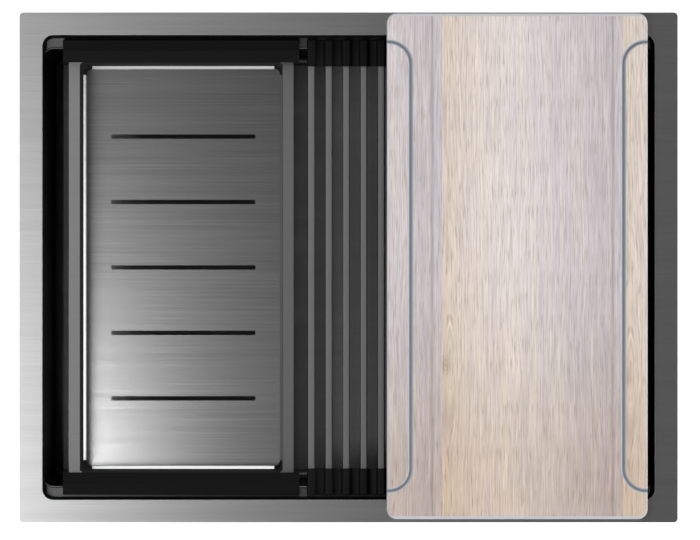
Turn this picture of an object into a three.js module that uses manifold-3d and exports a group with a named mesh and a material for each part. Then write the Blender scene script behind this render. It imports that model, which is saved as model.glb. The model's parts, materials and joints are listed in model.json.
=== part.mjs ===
// A workstation kitchen sink with its colander, roll mat and cutting board.
//
// Millimetres, +Z up. The origin is the centre of the deck's opening in the plane of the worktop's top, which
// the deck's underside rests on. +X runs along the long side, from the colander to the board. +Y is the back.

import * as THREE from 'three';
import { mergeVertices } from 'three/addons/utils/BufferGeometryUtils.js';
import Module from 'manifold-3d';

const wasm = await Module();
wasm.setup();

// ---------------------------------------------------------------- Driving dimensions

// Fits
const touchGap = 0.3; // left between two pieces that touch
const slideGap = 0.8; // left between a loose accessory and the wall that guides it
const gasketInset = 1; // of a gasket behind the edge of the flange that presses on it
const overshoot = 1; // of a cutting tool past what it cuts

// Deck plate
const deckWidth = 660;
const deckDepth = 511.4;
const deckThickness = 3;
const deckCornerRadius = 4;
const rimSideWidth = 23; // left and right of the opening
const rimEndWidth = 22.7; // in front of the opening and behind it
const openingCornerRadius = 11;

// Bowl
const sheet = 1.2;
const lapWidth = 8; // of the bowl's turned-out edge, let in flush under the deck
const ledgeDrop = 22; // from the worktop's top to the ledge
const ledgeWidth = 13;
const bowlDepth = 212; // from the worktop's top to the floor at the walls
const bowlCornerRadius = 10;
const floorFillet = 9;
const floorPitch = 3; // fall of the floor from the walls to the waste

// Waste
const wasteSideInset = 142; // from the bowl's right wall to the waste's axis
const wasteBackInset = 160; // from the bowl's lower back wall to the waste's axis
const wasteFlangeRadius = 57;
const wasteFlangeThickness = 1;
const recessMargin = 3; // round the waste's flange
const drainHoleGap = 1.4; // between the cup's throat and the hole in the sheet
const flangeGasketThickness = 1;
const underGasketThickness = 3;
const cupSheet = 1;
const cupThroatRadius = 42.6; // inside, above the basket's seat
const cupSeatDrop = 4.5; // from the flange's top to the basket's seat
const cupSeatWidth = 2.2;
const cupBottomRadius = 38;
const cupDepth = 46;
const cupHoleRadius = 6;
const cupHoleCount = 6;
const cupHoleCircle = 22;
const bodyWall = 3;
const bodyFlangeRadius = 56;
const bodyFlangeThickness = 5;
const bodyGap = 1.6; // between the cup and the body round it
const bodyFunnelHeight = 20;
const bossRadius = 7;
const bossLength = 24;
const bossRibCount = 3;
const bossRibThickness = 3;
const bossRibRise = 2; // from the boss's foot to its ribs
const bossRibTurn = 30; // degrees, of the first rib from +X
const wasteScrewRadius = 3;
const wasteScrewHeadRadius = 6.5;
const wasteScrewHeadHeight = 3;
const wasteScrewSlotWidth = 1.6;
const wasteScrewSlotDepth = 1.4;
const wasteScrewReach = 18; // into the boss
const wasteScrewTipGap = 2; // between the screw's tip and the foot of its hole
const outletBore = 20;
const outletWall = 4;
const outletLength = 30;
const hoseSpigotBore = 8.5;
const hoseSpigotWall = 2.5;
const hoseSpigotLength = 36;
const hoseSpigotDrop = 22; // from the body's top to the spigot's axis
const nutWall = 5;
const nutHeight = 25;
const nutLip = 2.5;
const nutRibCount = 8;
const nutRibDepth = 2;
const nutRibWidth = 4;
const nutRibInset = 1; // from the nut's ends to the ends of its ribs
const outletSealThickness = 3;

// Basket strainer
const basketSheet = 0.8;
const basketDepth = 27;
const basketFootGap = 1.9; // between the basket's foot and the cup
const basketHoleRadius = 3;
const basketOuterHoles = 8;
const basketOuterCircle = 28;
const basketInnerHoles = 4;
const basketInnerCircle = 16;
const basketPostRadius = 4;
const basketStemRadius = 2.5;
const basketKnobRadius = 11;
const basketKnobHeight = 5;
const basketKnobWaist = 7.7;
const basketKnobEdgeWidth = 2; // of the bevel round the knob's top
const basketKnobEdgeDrop = 1.5; // of the same bevel
const basketKnobBand = 1.5; // height of the upright band under it
const basketKnobDrop = 2; // from the flange's top to the knob's top
const basketSealRadius = 27;
const basketSealThickness = 4;
const basketSealBevel = 4;

// Overflow
const overflowDrop = 72; // from the worktop's top to the overflow's axis
const overflowHoleRadius = 15;
const overflowGrilleRadius = 22;
const overflowGrilleThickness = 1.2;
const overflowSlotCount = 5;
const overflowSlotWidth = 3;
const overflowSlotPitch = 6;
const overflowSlotHeight = 22;
const overflowBridge = 9; // left uncut across the slots, for the screw
const overflowScrewRadius = 2.5;
const overflowScrewHeadRadius = 4.5;
const overflowScrewHeadHeight = 2.2;
const overflowScrewSlotWidth = 1.2;
const overflowScrewLength = 20;
const overflowGasketThickness = 2.5;
const elbowFlangeRadius = 26;
const elbowFlangeThickness = 4;
const elbowRadius = 18;
const elbowWall = 2.5;
const elbowSpigotMargin = 2; // of the chamber, to each side of the spigot
const elbowBossRadius = 5;
const elbowSpigotLength = 44; // from the chamber's axis

// Sound-damping pads
const padThickness = 3;
const padCornerRadius = 12;
const floorPadSideMargin = 37; // from the bowl's side walls
const floorPadEndMargin = 35; // from the bowl's front and back walls
const floorPadHoleMargin = 8; // round the recess
const wallPadHeight = 90;
const wallPadFoot = 17; // from the floor at the walls up to a wall pad
const backPadWidth = 300;
const backPadX = -80;
const frontPadWidth = 420;
const sidePadDepth = 280;

// Worktop clips
const railThickness = 2;
const railEdge = 5; // of the level leg past the screws' axes
const railLeg = 16; // of the upright leg
const railInset = 42; // from the bowl's side walls to the rail's ends
const clipInset = 25; // from the rail's ends to the screws' axes
const screwRadius = 3;
const screwCollarRadius = 5;
const screwCollarHeight = 2.5;
const screwCollarGap = 0.5; // between the collar and the ledge's outer wall
const screwTop = 8; // above the rail
const screwLength = 48; // below the rail
const screwHeadRadius = 5;
const screwHeadHeight = 4;
const clawThickness = 2.5;
const clawWidth = 12;
const clawTail = 8;
const clawReach = 15;
const clawToeHeight = 9.5;
const clawNutRadius = 6;
const clawNutHeight = 3;
const clawRest = 10.5; // from the screw's head up to the claw's nut, at rest

// Colander
const colanderGap = 25.5; // from the bowl's left wall to the tray's flange
const handleOverhang = 5.8; // of the handle past the tray's flange, at each end
const handleWidth = 22.2;
const handleHeight = 10;
const handleSlope = 3; // fall of the inner half of the handle's top
const handleFlatWidth = 10.9; // of the outer half of the handle's top
const handleOverlap = 8.6; // of the handle over the ledge
const handleRib = 5; // below the ledge
const handleRibWidth = 4;
const handleTrayGap = 0.2; // between the tray's end wall and the handle
const handleSlotGap = 1.1; // between the tray's flange and the foot of the slot that holds it
const handleLipHeight = 3;
const handleChamfer = 1;
const handleCornerRadius = 2;
const traySheet = 1;
const trayWidth = 203.4; // inside
const trayDepth = 63;
const trayCornerRadius = 9;
const trayFillet = 3.5;
const traySideFlange = 11.3;
const trayEndFlange = 7.4;
const traySlotCount = 5;
const traySlotEndInset = 71.8; // from the tray's end to the middle of the first slot
const traySlotSideInset = 28.2; // from the tray's sides to the slots' ends
const traySlotWidth = 4.5;
const traySlotCornerRadius = 1.4;

// Roll mat
const matGap = 7.75; // from the colander's handle to the mat
const barCount = 13;
const curlingBars = 3;
const barPitch = 17.65;
const barWidth = 7;
const barHeight = 7;
const barWall = 0.8;
const barCornerRadius = 1.2;
const matEndGap = 4.3; // from the opening's wall to the mat
const stripWidth = 26.5;
const sleeveSideWall = 0.45;
const sleeveFloor = 1.2; // below a bar, and above it
const sleeveCornerRadius = 2.2;
const sleeveEndWall = 3;
const webTop = 3.7; // above the strip's underside
const webBottom = 1.2;
const webEdgeRise = 1.6; // of the web where it meets a sleeve

// Cutting board
const boardSideInset = 30.9; // from the deck's right end to the board
const boardEndInset = 2.8; // from the deck's front and back to the board's ends, if it were centred
const boardY = 1.1; // the board lies a little off centre
const boardWidth = 261;
const boardThickness = 12;
const boardCornerRadius = 10;
const boardChamfer = 1.6;
const grooveWidth = 5;
const grooveDepth = 2.5;
const grooveInset = 24; // from the board's side to the groove's centre
const grooveEndInset = 28.4; // from the board's end to where the groove runs out
const grooveBend = 22;
const boardStripInset = 14; // from the board's end to the strip's centre
const boardStripWidth = 8;
const boardStripEndInset = 30; // from the board's sides to the strip's ends
const boardStripThickness = 1.5;
const boardStripStand = 0.5; // of the strip below the board

// Facets
const cornerSteps = 5;
const filletSteps = 3;
const roundSides = 24;
const smallSides = 12;
const screwSides = 8;
const holeSides = 6;
const hexSides = 6;
const plainSteps = 3; // of a corner that hardly shows
const sectionSteps = 4;
const weldDistance = 1e-4; // corners closer than this are one

// ---------------------------------------------------------------- Derived places

const openingWidth = deckWidth - 2 * rimSideWidth;
const openingDepth = deckDepth - 2 * rimEndWidth;
const bowlDepthInside = openingDepth - 2 * ledgeWidth; // front to back, below the ledges
const lowerWallY = bowlDepthInside / 2; // inner face
const lowerWallOuterY = lowerWallY + sheet;
const wasteX = openingWidth / 2 - wasteSideInset;
const wasteY = lowerWallY - wasteBackInset;
const overflowX = wasteX;
const lapGrow = sheet + lapWidth; // from the opening's edge to the lap's
const recessRadius = wasteFlangeRadius + recessMargin;
const wasteTop = -bowlDepth - floorPitch; // the waste's flange lies flush with the floor round it
const recessDepth = wasteFlangeThickness + flangeGasketThickness + 2 * touchGap;
const recessFloor = wasteTop - recessDepth;
const bodyTop = recessFloor - sheet - underGasketThickness - 2 * touchGap;
const cupBottom = wasteTop - cupDepth;
const bodyChamberBottom = cupBottom - cupSheet - bodyGap - touchGap;
const outletTop = bodyChamberBottom - bodyFunnelHeight;
const outletBottom = outletTop - outletLength;
const outletRadius = outletBore + outletWall;
const drainHoleRadius = cupThroatRadius + cupSheet + drainHoleGap;
const hoseSpigotRadius = hoseSpigotBore + hoseSpigotWall;
const ledgeTop = -ledgeDrop;
const accessoryBottom = ledgeTop + touchGap; // underside of what lies on the ledges
const trayOuterWidth = trayWidth + 2 * traySideFlange;
const colanderX = colanderGap + trayOuterWidth / 2 - openingWidth / 2;
const handleLength = trayOuterWidth + 2 * handleOverhang;
const sleeveWidth = barWidth + 2 * (touchGap + sleeveSideWall);
const sleeveHeight = barHeight + 2 * (touchGap + sleeveFloor);
const firstBarX = colanderX + handleLength / 2 + matGap + sleeveWidth / 2;
const boardBottom = deckThickness + touchGap + boardStripStand;
const boardLength = deckDepth - 2 * boardEndInset;
const boardX = deckWidth / 2 - boardSideInset - boardWidth / 2;

// ---------------------------------------------------------------- Materials

function steel(color, roughness) {
  return new THREE.MeshStandardMaterial({ color, roughness, metalness: 1 });
}

function matt(color, roughness) {
  return new THREE.MeshStandardMaterial({ color, roughness, metalness: 0 });
}

const brushedSteel = steel('#a6a8aa', 0.35);
const bowlSteel = steel('#7e8083', 0.4);
const barSteel = steel('#8f9193', 0.3);
const zincSteel = steel('#b4b6b2', 0.5);
const blackPlastic = matt('#1b1b1c', 0.45);
const silicone = matt('#1d1d1e', 0.6);
const padRubber = matt('#4a4c4f', 0.9);
const sealRubber = matt('#2a2a2b', 0.8);
const oakLaminate = matt('#d8d0cc', 0.6);

// ---------------------------------------------------------------- Solids

// A closed geometry as a solid: shared corners merged, flat leftovers dropped, faces turned outward.
function toSolid(geometry) {
  const bare = geometry.clone();
  bare.deleteAttribute('normal');
  bare.deleteAttribute('uv');
  const merged = mergeVertices(bare, weldDistance);
  const positions = merged.attributes.position.array;
  const triangles = [];
  for (let i = 0; i < merged.index.count; i += 3) {
    const [a, b, c] = [0, 1, 2].map((k) => merged.index.getX(i + k));
    if (a !== b && b !== c && c !== a) {
      triangles.push(a, b, c);
    }
  }
  if (signedVolume(positions, triangles) < 0) {
    triangles.reverse();
  }
  const vertProperties = new Float32Array(positions);
  const triVerts = new Uint32Array(triangles);
  return new wasm.Manifold(new wasm.Mesh({ numProp: 3, vertProperties, triVerts }));
}

function signedVolume(positions, triangles) {
  const corner = (index) => new THREE.Vector3().fromArray(positions, 3 * index);
  let sum = 0;
  for (let i = 0; i < triangles.length; i += 3) {
    const [a, b, c] = [0, 1, 2].map((k) => corner(triangles[i + k]));
    sum += a.dot(b.cross(c)) / 6;
  }
  return sum;
}

function toGeometry(solid) {
  const mesh = solid.getMesh();
  const geometry = new THREE.BufferGeometry();
  geometry.setAttribute('position', new THREE.BufferAttribute(mesh.vertProperties, 3));
  geometry.setIndex(new THREE.BufferAttribute(mesh.triVerts, 1));
  return geometry;
}

function join(...solids) {
  return solids.reduce((sum, solid) => sum.add(solid));
}

function cut(solid, ...tools) {
  return tools.reduce((rest, tool) => rest.subtract(tool), solid);
}

// A shape in the XY plane, as a prism between two heights.
function prism(shape, bottom, top, curveSegments = cornerSteps) {
  const depth = top - bottom;
  const geometry = new THREE.ExtrudeGeometry(shape, { depth, bevelEnabled: false, curveSegments });
  return toSolid(geometry.translate(0, 0, bottom));
}

// A shape drawn as (x, height), as a bar along Y between two values of y.
function barAlongY(shape, front, back, curveSegments = sectionSteps) {
  const depth = back - front;
  const geometry = new THREE.ExtrudeGeometry(shape, { depth, bevelEnabled: false, curveSegments });
  return toSolid(geometry.rotateX(Math.PI / 2).translate(0, back, 0));
}

// A shape drawn as (y, height), as a bar along X, centred on x = 0.
function barAlongX(shape, length, curveSegments = sectionSteps) {
  const geometry = new THREE.ExtrudeGeometry(shape, { depth: length, bevelEnabled: false, curveSegments });
  geometry.rotateX(Math.PI / 2).rotateZ(Math.PI / 2);
  return toSolid(geometry.translate(-length / 2, 0, 0));
}

// A closed profile of (radius, height) points, turned about Z.
function turned(profile, sides = roundSides) {
  const points = profile.map(([radius, height]) => new THREE.Vector2(radius, height));
  const closed = [...points, points[0].clone()];
  return toSolid(new THREE.LatheGeometry(closed, sides).rotateX(Math.PI / 2));
}

function disc(radius, bottom, top, sides = roundSides) {
  const geometry = new THREE.CylinderGeometry(radius, radius, top - bottom, sides);
  return toSolid(geometry.rotateX(Math.PI / 2).translate(0, 0, (bottom + top) / 2));
}

function ring(innerRadius, outerRadius, bottom, top, sides = roundSides) {
  const bore = disc(innerRadius, bottom - overshoot, top + overshoot, sides);
  return cut(disc(outerRadius, bottom, top, sides), bore);
}

function box(low, high) {
  const size = high.map((value, axis) => value - low[axis]);
  const centre = high.map((value, axis) => (value + low[axis]) / 2);
  return toSolid(new THREE.BoxGeometry(...size).translate(...centre));
}

function moved(solid, x, y, z = 0) {
  return solid.translate([x, y, z]);
}

// Copies of a solid set round the Z axis.
function around(solid, count, firstAngle = 0) {
  const turn = (i) => firstAngle + (360 * i) / count;
  const copies = Array.from({ length: count }, (_, i) => solid.rotate([0, 0, turn(i)]));
  return join(...copies);
}

// ---------------------------------------------------------------- Outlines

function roundedRectangle(width, depth, radius) {
  const x = width / 2;
  const y = depth / 2;
  const shape = new THREE.Shape();
  shape.moveTo(x, radius - y);
  shape.absarc(x - radius, y - radius, radius, 0, Math.PI / 2, false);
  shape.absarc(radius - x, y - radius, radius, Math.PI / 2, Math.PI, false);
  shape.absarc(radius - x, radius - y, radius, Math.PI, 1.5 * Math.PI, false);
  shape.absarc(x - radius, radius - y, radius, 1.5 * Math.PI, 2 * Math.PI, false);
  return shape;
}

function rectangle(width, depth) {
  const x = width / 2;
  const y = depth / 2;
  return polygon([[x, -y], [x, y], [-x, y], [-x, -y]]);
}

function polygon(points) {
  return new THREE.Shape(points.map(([x, y]) => new THREE.Vector2(x, y)));
}

// A level ring of points round a rounded rectangle, corner by corner.
function rectangleRing(width, depth, radius, height) {
  const points = [];
  for (let corner = 0; corner < 4; corner += 1) {
    const signX = corner === 0 || corner === 3 ? 1 : -1;
    const signY = corner < 2 ? 1 : -1;
    for (let step = 0; step <= cornerSteps; step += 1) {
      const angle = (Math.PI / 2) * (corner + step / cornerSteps);
      const x = signX * (width / 2 - radius) + radius * Math.cos(angle);
      const y = signY * (depth / 2 - radius) + radius * Math.sin(angle);
      points.push(new THREE.Vector3(x, y, height));
    }
  }
  return points;
}

// A level circle with as many points as a rectangle's ring.
function circleRing(centreX, centreY, radius, height) {
  const count = 4 * (cornerSteps + 1);
  return Array.from({ length: count }, (_, i) => {
    const angle = (2 * Math.PI * (i + 0.5)) / count;
    const x = centreX + radius * Math.cos(angle);
    const y = centreY + radius * Math.sin(angle);
    return new THREE.Vector3(x, y, height);
  });
}

// Rings of equally many points, joined from the first to the last and closed flat at both ends.
function lofted(rings) {
  const count = rings[0].length;
  const middle = (points) => points.reduce((sum, p) => sum.add(p), new THREE.Vector3()).divideScalar(count);
  const points = [...rings.flat(), middle(rings[0]), middle(rings[rings.length - 1])];
  const lastRing = (rings.length - 1) * count;
  const index = [];
  for (let i = 0; i < count; i += 1) {
    const next = (i + 1) % count;
    for (let base = 0; base < lastRing; base += count) {
      index.push(base + i, base + next, base + count + i);
      index.push(base + next, base + count + next, base + count + i);
    }
    index.push(points.length - 2, next, i);
    index.push(points.length - 1, lastRing + i, lastRing + next);
  }
  const geometry = new THREE.BufferGeometry().setFromPoints(points);
  geometry.setIndex(index);
  return toSolid(geometry);
}

// Rings down a straight-sided pan with a rounded foot, from its top to its flat bottom, all grown outward
// by grow.
function panRings(width, depth, cornerRadius, fillet, top, bottom, grow) {
  const foot = fillet + grow;
  const rings = [rectangleRing(width + 2 * grow, depth + 2 * grow, cornerRadius + grow, top)];
  for (let step = 0; step <= filletSteps; step += 1) {
    const angle = ((Math.PI / 2) * step) / filletSteps;
    const inset = foot * (1 - Math.cos(angle));
    const height = bottom + fillet - foot * Math.sin(angle);
    const footWidth = width + 2 * (grow - inset);
    const footDepth = depth + 2 * (grow - inset);
    rings.push(rectangleRing(footWidth, footDepth, cornerRadius + grow - inset, height));
  }
  return rings;
}

// ---------------------------------------------------------------- Assembly

const sink = new THREE.Group();

function addPiece(group, name, solid, material) {
  const mesh = new THREE.Mesh(toGeometry(solid), material);
  mesh.name = name;
  group.add(mesh);
  return mesh;
}

function addGroup(x, y, z) {
  const group = new THREE.Group();
  group.position.set(x, y, z);
  sink.add(group);
  return group;
}

// ---------------------------------------------------------------- Deck and bowl

// The opening's outline, grown outward by grow.
function openingOutline(grow) {
  return roundedRectangle(
    openingWidth + 2 * grow,
    openingDepth + 2 * grow,
    openingCornerRadius + grow,
  );
}

// The space inside the bowl, grown outward by grow: the part above the ledges joined to the part below them.
function bowlSpace(grow, top) {
  const below = [openingWidth, bowlDepthInside, bowlCornerRadius, floorFillet];
  const rings = panRings(...below, top, -bowlDepth, grow);
  rings.push(circleRing(wasteX, wasteY, recessRadius + grow, wasteTop - grow));
  rings.push(circleRing(wasteX, wasteY, recessRadius + grow, recessFloor - grow));
  return join(prism(openingOutline(grow), ledgeTop - grow, top), lofted(rings));
}

// The plate has a rebate under its opening's edge, and the bowl's lap lies flush in it.
function deckPlate() {
  const outline = roundedRectangle(deckWidth, deckDepth, deckCornerRadius);
  outline.holes.push(openingOutline(0));
  const rebate = prism(openingOutline(lapGrow + touchGap), -overshoot, sheet);
  return cut(prism(outline, 0, deckThickness), rebate);
}

function bowlShell() {
  const outside = join(bowlSpace(sheet, sheet), prism(openingOutline(lapGrow), 0, sheet));
  const drain = moved(disc(drainHoleRadius, recessFloor - 2 * sheet, recessFloor + sheet), wasteX, wasteY);
  const overflow = disc(overflowHoleRadius, -sheet, 2 * sheet).rotate([-90, 0, 0]);
  const overflowHole = moved(overflow, overflowX, lowerWallY, -overflowDrop);
  return cut(outside, bowlSpace(0, sheet + overshoot), drain, overflowHole);
}

addPiece(sink, 'deck_plate', deckPlate(), brushedSteel);
addPiece(sink, 'bowl_shell', bowlShell(), bowlSteel);

// ---------------------------------------------------------------- Sound-damping pads

function floorPad() {
  const padWidth = openingWidth - 2 * floorPadSideMargin;
  const padDepth = bowlDepthInside - 2 * floorPadEndMargin;
  const slab = prism(roundedRectangle(padWidth, padDepth, padCornerRadius), -2 * bowlDepth, 0);
  const under = bowlSpace(sheet + touchGap, overshoot);
  const below = bowlSpace(sheet + touchGap + padThickness, overshoot);
  const hole = disc(recessRadius + floorPadHoleMargin, -2 * bowlDepth, 0);
  return cut(below.intersect(slab), under, moved(hole, wasteX, wasteY));
}

// A pad that stands on a wall, lying flat in its own XY plane.
function wallPad(width) {
  return prism(roundedRectangle(width, wallPadHeight, padCornerRadius), 0, padThickness, plainSteps);
}

// Hangs a wall pad outside the bowl, turned about Z from the back wall, at a distance out from the middle.
function addWallPad(name, width, turn, across, out) {
  const wall = new THREE.Group();
  wall.rotation.z = turn;
  sink.add(wall);
  const pad = addPiece(wall, name, wallPad(width), padRubber);
  const middle = wallPadFoot + wallPadHeight / 2 - bowlDepth;
  pad.position.set(across, out + sheet + touchGap, middle);
  pad.rotation.x = -Math.PI / 2;
}

addPiece(sink, 'floor_pad', floorPad(), padRubber);
addWallPad('back_pad', backPadWidth, 0, backPadX, lowerWallY);
addWallPad('left_pad', sidePadDepth, Math.PI / 2, 0, openingWidth / 2);
addWallPad('front_pad', frontPadWidth, Math.PI, 0, lowerWallY);
addWallPad('right_pad', sidePadDepth, -Math.PI / 2, 0, openingWidth / 2);

// ---------------------------------------------------------------- Basket waste

// The waste's pieces share the waste's axis, and keep the sink's heights.
const waste = addGroup(wasteX, wasteY, 0);

const cupSeat = wasteTop - cupSeatDrop;
const cupSeatRadius = cupThroatRadius - cupSeatWidth;
const bodyInnerTop = cupThroatRadius + cupSheet + touchGap;
const bodyInnerBottom = cupBottomRadius + cupSheet + bodyGap;

function wasteCup() {
  const cup = turned([
    [wasteFlangeRadius, wasteTop],
    [cupThroatRadius, wasteTop],
    [cupThroatRadius, cupSeat],
    [cupSeatRadius, cupSeat],
    [cupBottomRadius, cupBottom],
    [wasteScrewRadius + touchGap, cupBottom],
    [wasteScrewRadius + touchGap, cupBottom - cupSheet],
    [cupBottomRadius + cupSheet, cupBottom - cupSheet],
    [cupSeatRadius + cupSheet, cupSeat - cupSheet],
    [cupThroatRadius + cupSheet, cupSeat - cupSheet],
    [cupThroatRadius + cupSheet, wasteTop - wasteFlangeThickness],
    [wasteFlangeRadius, wasteTop - wasteFlangeThickness],
  ]);
  const punch = disc(cupHoleRadius, cupBottom - 2 * cupSheet, cupBottom + cupSheet, screwSides);
  return cut(cup, around(moved(punch, cupHoleCircle, 0), cupHoleCount));
}

function wasteBody() {
  const shell = turned([
    [bodyFlangeRadius, bodyTop],
    [bodyInnerTop, bodyTop],
    [bodyInnerBottom, bodyChamberBottom],
    [outletBore, outletTop],
    [outletBore, outletBottom],
    [outletRadius, outletBottom],
    [outletRadius, outletTop],
    [bodyInnerBottom + bodyWall, bodyChamberBottom],
    [bodyInnerTop + bodyWall, bodyTop - bodyFlangeThickness],
    [bodyFlangeRadius, bodyTop - bodyFlangeThickness],
  ]);
  const bossTop = cupBottom - cupSheet - touchGap;
  const bossBottom = bossTop - bossLength;
  const ribTop = bossTop - bodyGap - touchGap;
  const halfRib = bossRibThickness / 2;
  const ribEnd = bodyInnerBottom + bodyWall / 2;
  const rib = box([0, -halfRib, bossBottom + bossRibRise], [ribEnd, halfRib, ribTop]);
  const inside = turned([
    [0, bodyTop],
    [bodyInnerTop + bodyWall / 2, bodyTop],
    [bodyInnerBottom + bodyWall / 2, bodyChamberBottom],
    [outletBore + bodyWall / 2, outletTop],
    [0, outletTop],
  ]);
  const ribs = around(rib, bossRibCount, bossRibTurn).intersect(inside);
  const boss = disc(bossRadius, bossBottom, bossTop, smallSides);
  const spigotHeight = bodyTop - hoseSpigotDrop;
  const spigotEnd = bodyInnerTop + bodyWall + hoseSpigotLength;
  const spigot = disc(hoseSpigotRadius, ribEnd, spigotEnd, smallSides).rotate([-90, 0, 0]);
  const boreFoot = bodyInnerBottom - bodyWall;
  const bore = disc(hoseSpigotBore, boreFoot, spigotEnd + overshoot, smallSides).rotate([-90, 0, 0]);
  const holeFoot = bossTop - wasteScrewReach - wasteScrewTipGap;
  const screwHole = disc(wasteScrewRadius + touchGap, holeFoot, bossTop + overshoot, smallSides);
  const outside = join(shell, ribs, boss, moved(spigot, 0, 0, spigotHeight));
  return cut(outside, moved(bore, 0, 0, spigotHeight), screwHole);
}

function wasteScrew() {
  const headFoot = cupBottom + touchGap;
  const headTop = headFoot + wasteScrewHeadHeight;
  const tip = cupBottom - cupSheet - touchGap - wasteScrewReach;
  const head = disc(wasteScrewHeadRadius, headFoot, headTop, smallSides);
  const slotEnd = wasteScrewHeadRadius + overshoot;
  const half = wasteScrewSlotWidth / 2;
  const slotFloor = headTop - wasteScrewSlotDepth;
  const slot = box([-slotEnd, -half, slotFloor], [slotEnd, half, headTop + overshoot]);
  return cut(join(head, disc(wasteScrewRadius, tip, headTop, smallSides)), slot);
}

function outletNut() {
  const lipBottom = outletBottom - 2 * touchGap - outletSealThickness - nutLip;
  const inner = outletRadius + touchGap;
  const outer = inner + nutWall;
  const shell = turned([
    [inner, lipBottom + nutHeight],
    [inner, lipBottom + nutLip],
    [outletBore, lipBottom + nutLip],
    [outletBore, lipBottom],
    [outer, lipBottom],
    [outer, lipBottom + nutHeight],
  ]);
  const ribFoot = lipBottom + nutRibInset;
  const ribTop = lipBottom + nutHeight - nutRibInset;
  const half = nutRibWidth / 2;
  const rib = box([outer - nutRibDepth / 2, -half, ribFoot], [outer + nutRibDepth, half, ribTop]);
  return join(shell, around(rib, nutRibCount));
}

const flangeGasketBore = drainHoleRadius + gasketInset;
const flangeGasketRadius = wasteFlangeRadius - gasketInset;
const flangeGasketTop = wasteTop - wasteFlangeThickness - touchGap;
const underGasketRadius = bodyFlangeRadius - gasketInset;
const underGasketTop = recessFloor - sheet - touchGap;
const outletSealTop = outletBottom - touchGap;

addPiece(waste, 'waste_cup', wasteCup(), brushedSteel);
addPiece(
  waste,
  'flange_gasket',
  ring(flangeGasketBore, flangeGasketRadius, flangeGasketTop - flangeGasketThickness, flangeGasketTop),
  sealRubber,
);
addPiece(
  waste,
  'under_gasket',
  ring(drainHoleRadius, underGasketRadius, underGasketTop - underGasketThickness, underGasketTop),
  sealRubber,
);
addPiece(waste, 'waste_body', wasteBody(), blackPlastic);
addPiece(waste, 'waste_screw', wasteScrew(), barSteel);
addPiece(
  waste,
  'outlet_seal',
  ring(outletBore, outletRadius, outletSealTop - outletSealThickness, outletSealTop),
  sealRubber,
);
addPiece(waste, 'outlet_nut', outletNut(), blackPlastic);

// ---------------------------------------------------------------- Basket strainer

const basketRimTop = cupSeat + touchGap + basketSheet;
const basketWallTop = cupSeatRadius - slideGap; // outer radius
const basketBottom = basketRimTop - basketDepth;
const basketFootShare = (cupSeat - basketBottom + basketSheet) / (cupSeat - cupBottom); // down the cup
const cupAtBasketFoot = cupSeatRadius - basketFootShare * (cupSeatRadius - cupBottomRadius);
const basketWallBottom = cupAtBasketFoot - basketFootGap;
const basketStemEnd = basketBottom - basketSheet - touchGap - basketSealThickness;
const basketKnobTop = wasteTop - basketKnobDrop;

function basketCup() {
  const shell = turned([
    [cupThroatRadius - slideGap, basketRimTop],
    [basketWallTop - basketSheet, basketRimTop],
    [basketWallBottom - basketSheet, basketBottom],
    [basketPostRadius, basketBottom],
    [basketPostRadius, basketKnobTop - basketKnobHeight - touchGap],
    [0, basketKnobTop - basketKnobHeight - touchGap],
    [0, basketStemEnd],
    [basketStemRadius, basketStemEnd],
    [basketStemRadius, basketBottom - basketSheet],
    [basketWallBottom, basketBottom - basketSheet],
    [basketWallTop, basketRimTop - basketSheet],
    [cupThroatRadius - slideGap, basketRimTop - basketSheet],
  ]);
  const punchFoot = basketBottom - 2 * basketSheet;
  const punch = disc(basketHoleRadius, punchFoot, basketBottom + basketSheet, holeSides);
  const outerHoles = around(moved(punch, basketOuterCircle, 0), basketOuterHoles);
  const innerHoles = around(moved(punch, basketInnerCircle, 0), basketInnerHoles);
  return cut(shell, outerHoles, innerHoles);
}

function basketKnob() {
  const bandTop = basketKnobTop - basketKnobEdgeDrop;
  return turned([
    [0, basketKnobTop],
    [basketKnobRadius - basketKnobEdgeWidth, basketKnobTop],
    [basketKnobRadius, bandTop],
    [basketKnobRadius, bandTop - basketKnobBand],
    [basketKnobWaist, basketKnobTop - basketKnobHeight],
    [0, basketKnobTop - basketKnobHeight],
  ], smallSides);
}

function basketSeal() {
  const top = basketBottom - basketSheet - touchGap;
  return turned([
    [basketStemRadius + touchGap, top],
    [basketStemRadius + touchGap, top - basketSealThickness],
    [basketSealRadius - basketSealBevel, top - basketSealThickness],
    [basketSealRadius, top - basketSealThickness / 2],
    [basketSealRadius, top],
  ], smallSides);
}

addPiece(waste, 'basket_cup', basketCup(), brushedSteel);
addPiece(waste, 'basket_knob', basketKnob(), blackPlastic);
addPiece(waste, 'basket_seal', basketSeal(), sealRubber);

// ---------------------------------------------------------------- Overflow

// Drawn with the bowl's inner face as z = 0, +z going out through the back wall and +y going down.
const overflow = addGroup(overflowX, lowerWallY, -overflowDrop);
overflow.rotation.x = -Math.PI / 2;

const overflowGasketRadius = elbowFlangeRadius - gasketInset;
const gasketFace = sheet + touchGap;
const elbowFace = gasketFace + overflowGasketThickness + touchGap;
const chamberTop = elbowFace + elbowFlangeThickness + 2 * (hoseSpigotRadius + elbowSpigotMargin);

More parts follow.
